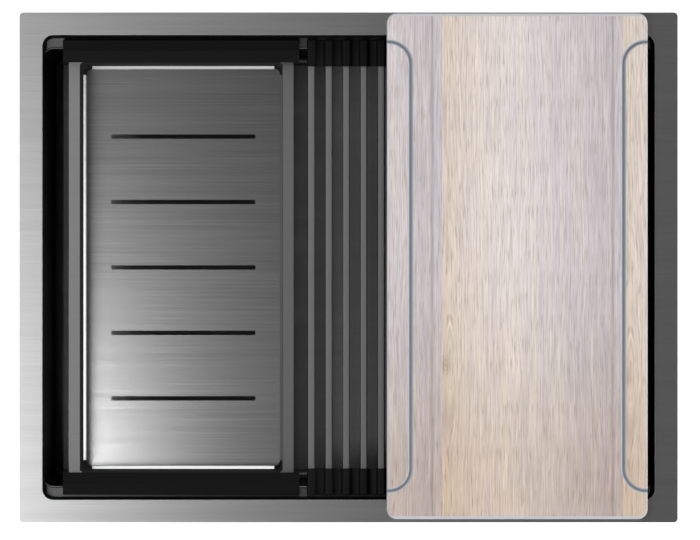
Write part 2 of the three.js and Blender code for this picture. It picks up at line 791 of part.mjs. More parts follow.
function overflowGrille() {
  const plate = disc(overflowGrilleRadius, -touchGap - overflowGrilleThickness, -touchGap);
  const reach = touchGap + overflowGrilleThickness + overshoot;
  const slots = [];
  for (let i = 0; i < overflowSlotCount; i += 1) {
    const x = (i - (overflowSlotCount - 1) / 2) * overflowSlotPitch;
    const half = overflowSlotWidth / 2;
    const halfHeight = overflowSlotHeight / 2;
    slots.push(box([x - half, -halfHeight, -reach], [x + half, halfHeight, reach]));
  }
  const bridgeEnd = 2 * overflowSlotPitch;
  const halfBridge = overflowBridge / 2;
  const bridge = box([-bridgeEnd, -halfBridge, -2 * reach], [bridgeEnd, halfBridge, 2 * reach]);
  const screwHole = disc(overflowScrewRadius + touchGap, -reach, reach, smallSides);
  return cut(plate, cut(join(...slots), bridge), screwHole);
}

function overflowScrew() {
  const headFoot = -overflowGrilleThickness - 2 * touchGap;
  const head = disc(overflowScrewHeadRadius, headFoot - overflowScrewHeadHeight, headFoot, smallSides);
  const slotFloor = headFoot - overflowScrewHeadHeight / 2;
  const slotEnd = overflowScrewHeadRadius + overshoot;
  const half = overflowScrewSlotWidth / 2;
  const slotTop = headFoot - overflowScrewHeadHeight - overshoot;
  const slot = box([-slotEnd, -half, slotTop], [slotEnd, half, slotFloor]);
  return cut(join(head, disc(overflowScrewRadius, slotFloor, overflowScrewLength, smallSides)), slot);
}

function overflowElbow() {
  const flange = disc(elbowFlangeRadius, elbowFace, elbowFace + elbowFlangeThickness);
  const chamber = disc(elbowRadius, elbowFace, chamberTop);
  const spigotCentre = (elbowFace + elbowFlangeThickness + chamberTop) / 2;
  const spigot = disc(hoseSpigotRadius, 0, elbowSpigotLength, smallSides).rotate([-90, 0, 0]);
  const hollow = disc(elbowRadius - elbowWall, elbowFace - overshoot, chamberTop - elbowWall);
  const boreEnd = elbowSpigotLength + overshoot;
  const bore = disc(hoseSpigotBore, 0, boreEnd, smallSides).rotate([-90, 0, 0]);
  const boss = disc(elbowBossRadius, elbowFace, chamberTop, smallSides);
  const holeFoot = overflowScrewLength + overshoot;
  const screwHole = disc(overflowScrewRadius + touchGap, elbowFace - overshoot, holeFoot, smallSides);
  const outside = join(flange, chamber, moved(spigot, 0, 0, spigotCentre));
  return cut(join(cut(outside, hollow, moved(bore, 0, 0, spigotCentre)), boss), screwHole);
}

addPiece(overflow, 'overflow_grille', overflowGrille(), brushedSteel);
addPiece(overflow, 'overflow_screw', overflowScrew(), barSteel);
addPiece(
  overflow,
  'overflow_gasket',
  ring(
    overflowHoleRadius + gasketInset,
    overflowGasketRadius,
    gasketFace,
    gasketFace + overflowGasketThickness,
  ),
  sealRubber,
);
addPiece(overflow, 'overflow_elbow', overflowElbow(), blackPlastic);

// ---------------------------------------------------------------- Worktop clips

const railTop = ledgeTop - sheet - touchGap;
const railBottom = railTop - railThickness;
const railLength = openingWidth - 2 * railInset;
const clipX = railLength / 2 - clipInset;
const screwOut = ledgeWidth + screwCollarGap + screwCollarRadius; // from the lower wall's outer face
const railReach = screwOut + railEdge;
const screwHeadTop = railBottom - screwLength;
const clawBottom = screwHeadTop + clawRest + clawNutHeight;
const clawTop = clawBottom + clawThickness;

// Drawn as on the back wall, with y counted out from the bowl's lower wall.
function clipRail() {
  const section = polygon([
    [touchGap, railTop],
    [touchGap, railTop - railLeg],
    [touchGap + railThickness, railTop - railLeg],
    [touchGap + railThickness, railBottom],
    [railReach, railBottom],
    [railReach, railTop],
  ]);
  const hole = disc(screwRadius + touchGap, railBottom - overshoot, railTop + overshoot, smallSides);
  const holes = [-clipX, clipX].map((x) => moved(hole, x, screwOut));
  return cut(barAlongX(section, railLength), ...holes);
}

function clipScrew() {
  const headFoot = screwHeadTop - screwHeadHeight;
  const upperCollar = railTop + touchGap;
  const lowerCollar = railBottom - touchGap;
  return join(
    disc(screwRadius, headFoot, railTop + screwTop, screwSides),
    disc(screwCollarRadius, upperCollar, upperCollar + screwCollarHeight, screwSides),
    disc(screwCollarRadius, lowerCollar - screwCollarHeight, lowerCollar, screwSides),
    disc(screwHeadRadius, headFoot, screwHeadTop, hexSides),
  );
}

function clipClaw() {
  const half = clawWidth / 2;
  const toeTop = clawTop + clawToeHeight;
  const nutFoot = clawBottom - clawNutHeight;
  const arm = box([-half, -clawTail, clawBottom], [half, clawReach, clawTop]);
  const toe = box([-half, clawReach - clawThickness, clawBottom], [half, clawReach, toeTop]);
  const nut = disc(clawNutRadius, nutFoot, clawTop, hexSides);
  const hole = disc(screwRadius + touchGap, nutFoot - overshoot, clawTop + overshoot, smallSides);
  return cut(join(arm, toe, nut), hole);
}

const clipSides = [
  { side: 'back', turn: 0, numbers: [1, 2] },
  { side: 'front', turn: Math.PI, numbers: [3, 4] },
];
for (const { side, turn, numbers } of clipSides) {
  const edge = addGroup(0, 0, 0);
  edge.rotation.z = turn;
  addPiece(edge, `clip_rail_${side}`, clipRail(), zincSteel).position.y = lowerWallOuterY;
  [-clipX, clipX].forEach((x, i) => {
    const clip = new THREE.Group();
    clip.position.set(x, lowerWallOuterY + screwOut, 0);
    edge.add(clip);
    addPiece(clip, `clip_screw_${numbers[i]}`, clipScrew(), zincSteel);
    addPiece(clip, `clip_claw_${numbers[i]}`, clipClaw(), zincSteel);
  });
}

// ---------------------------------------------------------------- Colander

const colander = addGroup(colanderX, 0, 0);

const handleOuterY = lowerWallY + handleOverlap;
const handleInnerY = handleOuterY - handleWidth;
const handleTop = accessoryBottom + handleHeight;
const trayFlangeBottom = accessoryBottom + handleLipHeight + touchGap;
const trayTop = trayFlangeBottom + traySheet;
const trayLength = 2 * (handleInnerY - handleTrayGap - traySheet); // inside
const traySlotLength = trayWidth - 2 * traySlotSideInset;
const traySlotPitch = (trayLength - 2 * traySlotEndInset) / (traySlotCount - 1);

function colanderTray() {
  const rings = (grow, top) =>
    panRings(trayWidth, trayLength, trayCornerRadius, trayFillet, top, trayTop - trayDepth, grow);
  const flangeLength = trayLength + 2 * (traySheet + trayEndFlange);
  const flange = roundedRectangle(trayOuterWidth, flangeLength, trayCornerRadius);
  const outside = join(lofted(rings(traySheet, trayTop)), prism(flange, trayFlangeBottom, trayTop));
  const slotOutline = roundedRectangle(traySlotLength, traySlotWidth, traySlotCornerRadius);
  const slot = prism(slotOutline, trayTop - 2 * trayDepth, trayTop, 1);
  const slots = [];
  for (let i = 0; i < traySlotCount; i += 1) {
    slots.push(moved(slot, 0, (i - (traySlotCount - 1) / 2) * traySlotPitch));
  }
  return cut(outside, lofted(rings(0, trayTop + overshoot)), ...slots);
}

// The handle's section lies on the ledge outside, grips the tray's flange inside and hooks down between them.
function colanderHandle() {
  const slotBack = trayLength / 2 + traySheet + trayEndFlange + handleSlotGap;
  const ribFace = lowerWallY - slideGap;
  const ribFoot = ledgeTop - handleRib;
  const section = polygon([
    [handleInnerY, accessoryBottom],
    [ribFace - handleRibWidth, accessoryBottom],
    [ribFace - handleRibWidth, ribFoot],
    [ribFace, ribFoot],
    [ribFace, accessoryBottom],
    [handleOuterY, accessoryBottom],
    [handleOuterY, handleTop - handleChamfer],
    [handleOuterY - handleChamfer, handleTop],
    [handleOuterY - handleFlatWidth, handleTop],
    [handleInnerY + handleChamfer, handleTop - handleSlope],
    [handleInnerY, handleTop - handleSlope - handleChamfer],
    [handleInnerY, trayTop + touchGap],
    [slotBack, trayTop + touchGap],
    [slotBack, trayFlangeBottom - touchGap],
    [handleInnerY, trayFlangeBottom - touchGap],
  ]);
  const bar = barAlongX(section, handleLength);
  const plan = roundedRectangle(handleLength, handleWidth, handleCornerRadius);
  const column = prism(plan, ribFoot - overshoot, handleTop + overshoot, plainSteps);
  return bar.intersect(moved(column, 0, (handleInnerY + handleOuterY) / 2));
}

addPiece(colander, 'colander_tray', colanderTray(), brushedSteel);
addPiece(colander, 'colander_handle_back', colanderHandle(), blackPlastic);
addPiece(colander, 'colander_handle_front', colanderHandle(), blackPlastic).rotation.z = Math.PI;

// ---------------------------------------------------------------- Roll mat

const barMiddle = accessoryBottom + sleeveHeight / 2;
const stripOuterY = openingDepth / 2 - matEndGap;
const stripInnerY = stripOuterY - stripWidth;
const barHalfLength = stripOuterY - sleeveEndWall - touchGap;
const halfSleeve = sleeveWidth / 2;
const webHalf = (barPitch - sleeveWidth) / 2;
const hingeGap = touchGap / 2; // from the fold line to each side's rubber

function matBar() {
  const outline = roundedRectangle(barWidth, barHeight, barCornerRadius);
  const hollowWidth = barWidth - 2 * barWall;
  const hollowHeight = barHeight - 2 * barWall;
  outline.holes.push(rectangle(hollowWidth, hollowHeight));
  return barAlongY(outline, -barHalfLength, barHalfLength, 1);
}

// The outline of one strip's end over several bars, from the first sleeve at x = 0. The web on the left ends
// at the fold line, or is left off at the mat's own edge, and so is the one on the right.
function stripOutline(bars, leftWeb, rightWeb) {
  const shape = new THREE.Shape();
  const radius = sleeveCornerRadius;
  const shoulder = sleeveHeight - radius;
  const leftEnd = leftWeb ? -halfSleeve - webHalf + hingeGap : -halfSleeve;
  const lastX = (bars - 1) * barPitch;
  const rightEnd = rightWeb ? lastX + halfSleeve + webHalf - hingeGap : lastX + halfSleeve;
  shape.moveTo(leftEnd, leftWeb ? webTop : webBottom);
  for (let i = 0; i < bars; i += 1) {
    const x = i * barPitch;
    if (i > 0) {
      shape.lineTo(x - halfSleeve - webHalf, webTop);
    }
    if (i > 0 || leftWeb) {
      shape.lineTo(x - halfSleeve, webTop + webEdgeRise);
    }
    shape.lineTo(x - halfSleeve, shoulder);
    shape.absarc(x - halfSleeve + radius, shoulder, radius, Math.PI, Math.PI / 2, true);
    shape.absarc(x + halfSleeve - radius, shoulder, radius, Math.PI / 2, 0, true);
    if (i < bars - 1 || rightWeb) {
      shape.lineTo(x + halfSleeve, webTop + webEdgeRise);
    }
  }
  if (rightWeb) {
    shape.lineTo(rightEnd, webTop);
  }
  shape.lineTo(rightEnd, webBottom);
  for (let i = bars - 1; i >= 0; i -= 1) {
    const x = i * barPitch;
    shape.lineTo(x + halfSleeve, webBottom);
    shape.lineTo(x + halfSleeve, 0);
    shape.lineTo(x - halfSleeve, 0);
    shape.lineTo(x - halfSleeve, webBottom);
  }
  shape.lineTo(leftEnd, webBottom);
  return shape;
}

// One end of the mat over several bars, with a blind pocket for each bar.
function matStrip(bars, leftWeb, rightWeb) {
  const strip = barAlongY(stripOutline(bars, leftWeb, rightWeb), stripInnerY, stripOuterY, 2);
  const halfPocket = barWidth / 2 + touchGap;
  const pocketStart = stripInnerY - overshoot;
  const pocketEnd = stripOuterY - sleeveEndWall;
  const pocketTop = sleeveHeight - sleeveFloor;
  const pocket = box([-halfPocket, pocketStart, sleeveFloor], [halfPocket, pocketEnd, pocketTop]);
  const pockets = Array.from({ length: bars }, (_, i) => moved(pocket, i * barPitch, 0));
  return cut(strip, ...pockets);
}

// The front strip is the back one mirrored in y, and keeps its heights and its order along x.
function mirroredInY(solid) {
  return solid.mirror([0, 1, 0]);
}

for (let i = 0; i < barCount; i += 1) {
  const bar = addPiece(sink, `mat_bar_${String(i + 1).padStart(2, '0')}`, matBar(), barSteel);
  bar.position.set(firstBarX + i * barPitch, 0, barMiddle);
}
for (let i = 0; i < curlingBars; i += 1) {
  const sleeve = matStrip(1, i > 0, true);
  const ends = addGroup(firstBarX + i * barPitch, 0, accessoryBottom);
  addPiece(ends, `mat_sleeve_back_${i + 1}`, sleeve, silicone);
  addPiece(ends, `mat_sleeve_front_${i + 1}`, mirroredInY(sleeve), silicone);
}
const fixedStrip = matStrip(barCount - curlingBars, true, false);
const fixedEnds = addGroup(firstBarX + curlingBars * barPitch, 0, accessoryBottom);
addPiece(fixedEnds, 'mat_strip_back', fixedStrip, silicone);
addPiece(fixedEnds, 'mat_strip_front', mirroredInY(fixedStrip), silicone);

// ---------------------------------------------------------------- Cutting board

const board = addGroup(boardX, boardY, boardBottom);
const boardStripY = boardLength / 2 - boardStripInset;

// A groove's outline along the board's left side, which runs out of that side at both ends.
function grooveOutline(width) {
  const side = -boardWidth / 2 - overshoot;
  const bendX = -boardWidth / 2 + grooveInset - grooveBend;
  const runOut = boardLength / 2 - grooveEndInset;
  const bendY = runOut - grooveBend;
  const outer = grooveBend + width / 2;
  const inner = grooveBend - width / 2;
  const shape = new THREE.Shape();
  shape.moveTo(side, runOut + width / 2);
  shape.absarc(bendX, bendY, outer, Math.PI / 2, 0, true);
  shape.absarc(bendX, -bendY, outer, 0, -Math.PI / 2, true);
  shape.lineTo(side, -runOut - width / 2);
  shape.lineTo(side, -runOut + width / 2);
  shape.absarc(bendX, -bendY, inner, -Math.PI / 2, 0, false);
  shape.absarc(bendX, bendY, inner, 0, Math.PI / 2, false);
  shape.lineTo(side, runOut - width / 2);
  return shape;
}

// Half the length and half the width of a strip, or of the recess that it lies in.
function stripHalves(clearance) {
  return [boardWidth / 2 - boardStripEndInset + clearance, boardStripWidth / 2 + clearance];
}

function cuttingBoard() {
  const outline = roundedRectangle(
    boardWidth - 2 * boardChamfer,
    boardLength - 2 * boardChamfer,
    boardCornerRadius - boardChamfer,
  );
  const geometry = new THREE.ExtrudeGeometry(outline, {
    depth: boardThickness - 2 * boardChamfer,
    bevelThickness: boardChamfer,
    bevelSize: boardChamfer,
    bevelSegments: 1,
    curveSegments: cornerSteps,
  });
  const slab = toSolid(geometry.translate(0, 0, boardChamfer));
  const grooveFloor = boardThickness - grooveDepth;
  const groove = prism(grooveOutline(grooveWidth), grooveFloor, boardThickness + overshoot);
  const [halfLength, half] = stripHalves(touchGap);
  const recessTop = boardStripThickness - boardStripStand + touchGap;
  const recess = box([-halfLength, -half, -overshoot], [halfLength, half, recessTop]);
  const recesses = [moved(recess, 0, boardStripY), moved(recess, 0, -boardStripY)];
  return cut(slab, groove, groove.rotate([0, 0, 180]), ...recesses);
}

function boardStrip() {
  const [halfLength, half] = stripHalves(0);
  const top = boardStripThickness - boardStripStand;
  return box([-halfLength, -half, -boardStripStand], [halfLength, half, top]);
}

addPiece(board, 'cutting_board', cuttingBoard(), oakLaminate);
addPiece(board, 'board_strip_back', boardStrip(), sealRubber).position.y = boardStripY;
addPiece(board, 'board_strip_front', boardStrip(), sealRubber).position.y = -boardStripY;

export default sink;
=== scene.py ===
import json
import math

import bmesh
import bpy
import numpy as np
from mathutils import Matrix, Vector


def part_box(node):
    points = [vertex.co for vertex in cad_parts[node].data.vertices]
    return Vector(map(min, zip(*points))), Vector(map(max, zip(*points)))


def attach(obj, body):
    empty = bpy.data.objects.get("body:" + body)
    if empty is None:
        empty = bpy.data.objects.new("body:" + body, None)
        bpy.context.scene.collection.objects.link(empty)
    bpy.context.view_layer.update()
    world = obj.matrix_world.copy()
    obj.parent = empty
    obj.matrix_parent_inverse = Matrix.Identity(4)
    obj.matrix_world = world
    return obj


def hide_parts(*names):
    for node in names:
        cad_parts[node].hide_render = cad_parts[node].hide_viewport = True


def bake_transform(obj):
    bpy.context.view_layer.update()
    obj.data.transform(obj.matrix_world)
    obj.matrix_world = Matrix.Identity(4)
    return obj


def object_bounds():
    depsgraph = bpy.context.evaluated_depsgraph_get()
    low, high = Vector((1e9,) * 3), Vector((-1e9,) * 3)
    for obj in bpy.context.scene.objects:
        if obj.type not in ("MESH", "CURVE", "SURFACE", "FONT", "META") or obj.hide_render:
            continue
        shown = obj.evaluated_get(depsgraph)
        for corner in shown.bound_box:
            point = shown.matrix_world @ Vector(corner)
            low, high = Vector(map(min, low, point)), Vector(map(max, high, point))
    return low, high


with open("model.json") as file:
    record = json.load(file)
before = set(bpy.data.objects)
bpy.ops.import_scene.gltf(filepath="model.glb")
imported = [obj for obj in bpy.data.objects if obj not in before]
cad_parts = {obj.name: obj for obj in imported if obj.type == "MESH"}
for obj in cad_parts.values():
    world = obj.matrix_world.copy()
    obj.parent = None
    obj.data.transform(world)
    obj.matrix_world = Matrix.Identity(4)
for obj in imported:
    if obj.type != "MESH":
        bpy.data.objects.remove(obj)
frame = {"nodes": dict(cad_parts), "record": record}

# A workstation kitchen sink seen from straight above, with its colander, its roll mat and its cutting board.
# Everything is in metres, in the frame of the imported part. +X is right, +Y is the back, +Z is up, and z = 0
# is the worktop's top, which the deck lies on.

CAD_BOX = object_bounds()

MM = 0.001
WELD = 1e-6  # points closer than this are one
QUARTER = math.pi / 2
SHARP = math.radians(32)  # edges past this angle are shaded sharp
NEAR = 0.1 * MM  # a face this near a height belongs to it
LEVEL = 0.99  # a face whose normal rises more than this is level

# ---------------------------------------------------------------- Sizes

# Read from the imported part.
DECK_LOW, DECK_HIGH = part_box("deck_plate")
BOWL_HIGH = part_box("bowl_shell")[1]
CUP_LOW, CUP_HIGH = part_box("waste_cup")
TRAY_LOW, TRAY_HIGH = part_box("colander_tray")
HANDLE_LOW, HANDLE_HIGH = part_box("colander_handle_back")
STRIP_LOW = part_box("mat_strip_back")[0]
SLEEVE_LOW, SLEEVE_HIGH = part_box("mat_sleeve_back_1")
BOARD_LOW, BOARD_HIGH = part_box("cutting_board")

# Deck and bowl.
SHEET = 1.2 * MM
LAP = 8 * MM  # of the bowl's turned-out edge, let in under the deck
FIT = 0.3 * MM  # clearance of pieces that lie on or in each other
DECK_RADIUS = 4 * MM
DECK_EDGE = 0.25 * MM  # radius that breaks the deck's upper edges
OPENING_X = BOWL_HIGH.x - LAP - SHEET
OPENING_Y = BOWL_HIGH.y - LAP - SHEET
OPENING_RADIUS = 11 * MM
LEDGE = 13 * MM
LEDGE_Z = STRIP_LOW.z - FIT
LEDGE_END = 3.5 * MM  # from the side walls to the ground part of a ledge
FOLD = 2.2 * MM  # radius of the folds on both sides of a ledge
WALL_Y = OPENING_Y - LEDGE
WALL_RADIUS = 10 * MM
FLOOR_Z = -212 * MM
FLOOR_FILLET = 9 * MM
WASTE_X = (CUP_LOW.x + CUP_HIGH.x) / 2
WASTE_Y = (CUP_LOW.y + CUP_HIGH.y) / 2
WASTE_Z = CUP_HIGH.z
RECESS_RADIUS = 60 * MM
RECESS_DROP = 2.6 * MM
DRAIN_RADIUS = 45 * MM
OVERFLOW_Z = -72 * MM
OVERFLOW_HOLE = 15 * MM

# Colander.
TRAY_SHEET = 1 * MM
TRAY_X = (TRAY_LOW.x + TRAY_HIGH.x) / 2
TRAY_HALF_X = 101.7 * MM
TRAY_HALF_Y = 205.2 * MM
TRAY_RADIUS = 9 * MM
TRAY_MOUTH_RADIUS = 2 * MM  # of the corners where the flange folds down
TRAY_BEND = 3.2 * MM  # width of the slanted bend between wall and floor
TRAY_SLANT = math.radians(30)
TRAY_BEND_RISE = TRAY_BEND * math.tan(TRAY_SLANT)
TRAY_FOLD = 0.4 * MM  # radius between flange and wall
TRAY_LIFT = 0.28 * MM
TRAY_LIFT_REACH = 4 * MM
TRAY_FLOOR_Z = TRAY_LOW.z + TRAY_SHEET
TRAY_SLOTS = 5
TRAY_SLOT_PITCH = 66.7 * MM
TRAY_SLOT_LENGTH = 147 * MM
TRAY_SLOT_WIDTH = 4.5 * MM

# Roll mat.
BARS = 13
CURLING = 3  # of the bars, from the left
BAR_WIDTH = 7 * MM
BAR_X = [(lo.x + hi.x) / 2 for lo, hi in (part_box(f"mat_bar_{i + 1:02d}") for i in range(BARS))]
BAR_LOW, BAR_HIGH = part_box("mat_bar_01")
SLEEVE_WIDTH = 8.5 * MM

# Cutting board.
BOARD_RADIUS = 10 * MM
BOARD_EDGE = 2.2 * MM
BOARD_X = (BOARD_LOW.x + BOARD_HIGH.x) / 2
BOARD_Y = (BOARD_LOW.y + BOARD_HIGH.y) / 2
GROOVE_WIDTH = 5 * MM
GROOVE_DEPTH = 2.5 * MM
GROOVE_INSET = 24 * MM
GROOVE_END = 28.4 * MM
GROOVE_BEND = 22 * MM

# ---------------------------------------------------------------- Shapes
# A shape is a pair: its points, as an array of x, y and z, and its faces, as lists of point numbers.


def loft(rings, caps=True, wrap=False):
    """A skin over rings of equally many points: point j of ring i is joined to point j + 1 and to ring i + 1.

    The first and last rings are closed by flat faces (caps), or joined to each other (wrap).
    """
    rings = np.asarray(rings, float)
    rows, columns = rings.shape[:2]
    row, column = np.meshgrid(np.arange(rows if wrap else rows - 1), np.arange(columns), indexing="ij")
    below, after = (row + 1) % rows, (column + 1) % columns
    corners = [row * columns + column, row * columns + after,
               below * columns + after, below * columns + column]
    faces = np.stack(corners, -1).reshape(-1, 4).tolist()
    if caps and not wrap:
        last = (rows - 1) * columns
        faces.append(list(range(columns - 1, -1, -1)))
        faces.append(list(range(last, last + columns)))
    return rings.reshape(-1, 3), faces


def joined(*shapes):
    """Several shapes as one: their points in a row, and their faces counted on."""
    points, faces, start = [], [], 0
    for shape_points, shape_faces in shapes:
        points.append(shape_points)
        faces += [[start + k for k in face] for face in shape_faces]
        start += len(shape_points)
    return np.concatenate(points), faces


def moved(shape, x=0.0, y=0.0, z=0.0):
    """The same shape with x, y and z added to its points."""
    return shape[0] + np.array([x, y, z]), shape[1]


def mirrored(shape):
    """The same shape on the other side of the plane y = 0."""
    return shape[0] * np.array([1.0, -1.0, 1.0]), shape[1]


def rounded_rectangle(half_x, half_y, radius, steps=8, x_stops=(), y_stops=()):
    """Points round a rectangle whose corners are quarter circles, corner by corner from the right-hand side.

    The stops are more points along the straight sides, at those values of x and y.
    """
    x_stops, y_stops = np.asarray(x_stops, float), np.asarray(y_stops, float)
    sides = [
        np.column_stack([np.full(len(y_stops), half_x), y_stops]),
        np.column_stack([-x_stops, np.full(len(x_stops), half_y)]),
        np.column_stack([np.full(len(y_stops), -half_x), -y_stops]),
        np.column_stack([x_stops, np.full(len(x_stops), -half_y)]),
    ]
    parts = []
    for corner, (sign_x, sign_y) in enumerate([(1, 1), (-1, 1), (-1, -1), (1, -1)]):
        angle = QUARTER * (corner + np.linspace(0, 1, steps + 1))
        x = sign_x * (half_x - radius) + radius * np.cos(angle)
        y = sign_y * (half_y - radius) + radius * np.sin(angle)
        parts += [sides[corner], np.column_stack([x, y])]
    return np.concatenate(parts)


def circle(radius, steps):
    """Points round a circle, given as a rectangle that is hardly more than its corners."""
    return rounded_rectangle(radius, radius, 0.999 * radius, steps)


def filleted(corners, radii, steps=4):
    """A polygon whose corners are arcs of their radii, each swept between its two sides' tangent points.

    A point of an arc is its centre plus (sin((1 - t) sweep) start + sin(t sweep) end) / sin(sweep).
    """
    corners, radii = np.asarray(corners, float), np.asarray(radii, float)[:, None]
    to_last, to_next = np.roll(corners, 1, 0) - corners, np.roll(corners, -1, 0) - corners
    to_last /= np.linalg.norm(to_last, axis=1)[:, None]
    to_next /= np.linalg.norm(to_next, axis=1)[:, None]
    half = np.arccos(np.clip((to_last * to_next).sum(1), -1, 1))[:, None] / 2
    middle = (to_last + to_next) / np.linalg.norm(to_last + to_next, axis=1)[:, None]
    centre = corners + middle * radii / np.sin(half)
    start = corners + to_last * radii / np.tan(half) - centre
    end = corners + to_next * radii / np.tan(half) - centre
    sweep = math.pi - 2 * half
    share = np.linspace(0, 1, steps + 1)[:, None, None]
    turn = (np.sin((1 - share) * sweep) * start + np.sin(share * sweep) * end) / np.sin(sweep)
    return (centre + turn).transpose(1, 0, 2).reshape(-1, 2)


def inset(outline, distance):
    """The outline moved inward: each point goes along the mean of its two sides' normals, mitred."""
    side = np.roll(outline, -1, 0) - outline
    side /= np.linalg.norm(side, axis=1)[:, None]
    normal = np.column_stack([-side[:, 1], side[:, 0]])
    mean = normal + np.roll(normal, 1, 0)
    mean /= (mean**2).sum(1)[:, None] / 2
    area = (outline[:, 0] * np.roll(outline[:, 1], -1) - np.roll(outline[:, 0], -1) * outline[:, 1]).sum()
    return outline + math.copysign(distance, area) * mean


def rounded_ends(start, end, radius, steps=4):
    """Places along a bar and the insets of its outline there, which round both of its ends with a radius."""
    angle = np.linspace(0, QUARTER, steps + 1)
    depth, narrowing = radius * (1 - np.cos(angle)), radius * (1 - np.sin(angle))
    places = np.concatenate([start + depth, end - depth[::-1]])
    return list(zip(places, np.concatenate([narrowing, narrowing[::-1]])))


def bar(outline, stations, axis):
    """An outline carried straight along an axis, moved inward at each station, with flat ends.

    The outline's two numbers are the other two axes, in the order x, y, z.
    """
    rings = []
    for place, distance in stations:
        flat = inset(outline, distance) if distance else outline
        rings.append(np.insert(flat, "xyz".index(axis), place, axis=1))
    return loft(rings)


def level(outline, z):
    """A flat outline of (x, y) as a ring at one height."""
    return np.column_stack([outline, np.full(len(outline), z)])


def lathe(profile, x=0.0, y=0.0, segments=96, closed=True):
    """A profile of (radius, z) turned about an upright axis: (radius cos a, radius sin a, z).

    It closes on itself, or starts and ends on the axis.
    """
    angle = np.linspace(0, 2 * math.pi, segments, endpoint=False)
    radius, z = np.asarray(profile, float).T
    around = np.column_stack([np.cos(angle), np.sin(angle)])
    rings = [level(r * around + np.array([x, y]), height) for r, height in zip(radius, z)]
    return loft(rings, caps=False, wrap=closed)


def arc(centre_a, centre_b, radius, start, end, steps=5):
    """Points (a, b) on part of a circle, between two angles in degrees."""
    angle = np.radians(np.linspace(start, end, steps + 1))
    return list(zip(centre_a + radius * np.cos(angle), centre_b + radius * np.sin(angle)))


# ---------------------------------------------------------------- Pieces


def made_mesh(name, shape):
    """A shape as a Blender object: equal points merged, and faces turned outward."""
    mesh = bpy.data.meshes.new(name)
    mesh.from_pydata(shape[0].tolist(), [], shape[1])
    work = bmesh.new()
    work.from_mesh(mesh)
    bmesh.ops.remove_doubles(work, verts=work.verts, dist=WELD)
    bmesh.ops.recalc_face_normals(work, faces=work.faces)
    work.to_mesh(mesh)
    work.free()
    made = bpy.data.objects.new(name, mesh)
    bpy.context.scene.collection.objects.link(made)
    shaded(made)
    return made


def shaded(made):
    """Smooth shading in which large flat faces keep their own normals, and edges past an angle stay sharp."""
    mesh = made.data
    mesh.polygons.foreach_set("use_smooth", np.ones(len(mesh.polygons), bool))
    mesh.set_sharp_from_angle(angle=SHARP)
    weighted = made.modifiers.new("flat faces", "WEIGHTED_NORMAL")
    weighted.keep_sharp = True


def cut(made, *shapes):
    """Takes shapes out of a piece, with an exact boolean that is applied at once."""
    tool = made_mesh(made.name + "_tool", joined(*shapes))
    made.modifiers.clear()
    modifier = made.modifiers.new("cut", "BOOLEAN")
    modifier.operation = "DIFFERENCE"
    modifier.solver = "EXACT"
    modifier.object = tool
    scene_graph = bpy.context.evaluated_depsgraph_get()
    mesh = bpy.data.meshes.new_from_object(made.evaluated_get(scene_graph))
    made.modifiers.clear()
    made.data = mesh
    bpy.data.objects.remove(tool)
    shaded(made)


def finish(made, material, slot, body, *nodes):
    """Gives a piece its material and the body it rides on, and hides the CAD nodes it stands for. The slot is
    not used.
    """
    made.data.materials.clear()
    made.data.materials.append(material)
    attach(made, body)
    if nodes:
        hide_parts(*nodes)


def faces_of(made):
    """The middles and the normals of a piece's faces, as two arrays."""
    faces = made.data.polygons
    middles, normals = np.empty(3 * len(faces), np.float32), np.empty(3 * len(faces), np.float32)
    faces.foreach_get("center", middles)
    faces.foreach_get("normal", normals)
    return middles.reshape(-1, 3).astype(float), normals.reshape(-1, 3).astype(float)


def dress(made, materials, rules):
    """Adds materials to a piece: a face has that of the first rule, an array of yes and no, that it keeps."""
    for material in materials:
        made.data.materials.append(material)
    indices = np.select([rule for number, rule in rules], [number for number, rule in rules], 0)
    made.data.polygons.foreach_set("material_index", indices.astype(np.int32))


# ---------------------------------------------------------------- Materials


def shade(code):
    """An sRGB hex colour as linear red, green, blue and alpha."""
    channels = [int(code[i : i + 2], 16) / 255 for i in (1, 3, 5)]
    return [c / 12.92 if c <= 0.04045 else ((c + 0.055) / 1.055) ** 2.4 for c in channels] + [1.0]


def add(tree, kind, inputs=None, **settings):
    """Adds a shader node with its settings. Its inputs are numbers, other nodes' outputs, or other nodes,
    whose first output in use is meant."""
    made = tree.nodes.new("ShaderNode" + kind)
    for key, value in settings.items():
        setattr(made, key, value)
    for key, value in (inputs or {}).items():
        if isinstance(value, bpy.types.Node):
            value = next(output for output in value.outputs if output.enabled)
        if isinstance(value, bpy.types.NodeSocket):
            tree.links.new(value, made.inputs[key])
        else:
            made.inputs[key].default_value = value
    return made


def new_material(name, **constants):
    """A node material whose shader has these constants on its own sockets."""
    material = bpy.data.materials.new(name)
    material.use_nodes = True
    tree = material.node_tree
    shader = tree.nodes["Principled BSDF"]
    for key, value in constants.items():
        shader.inputs[key.replace("_", " ")].default_value = value
    return material, tree, shader


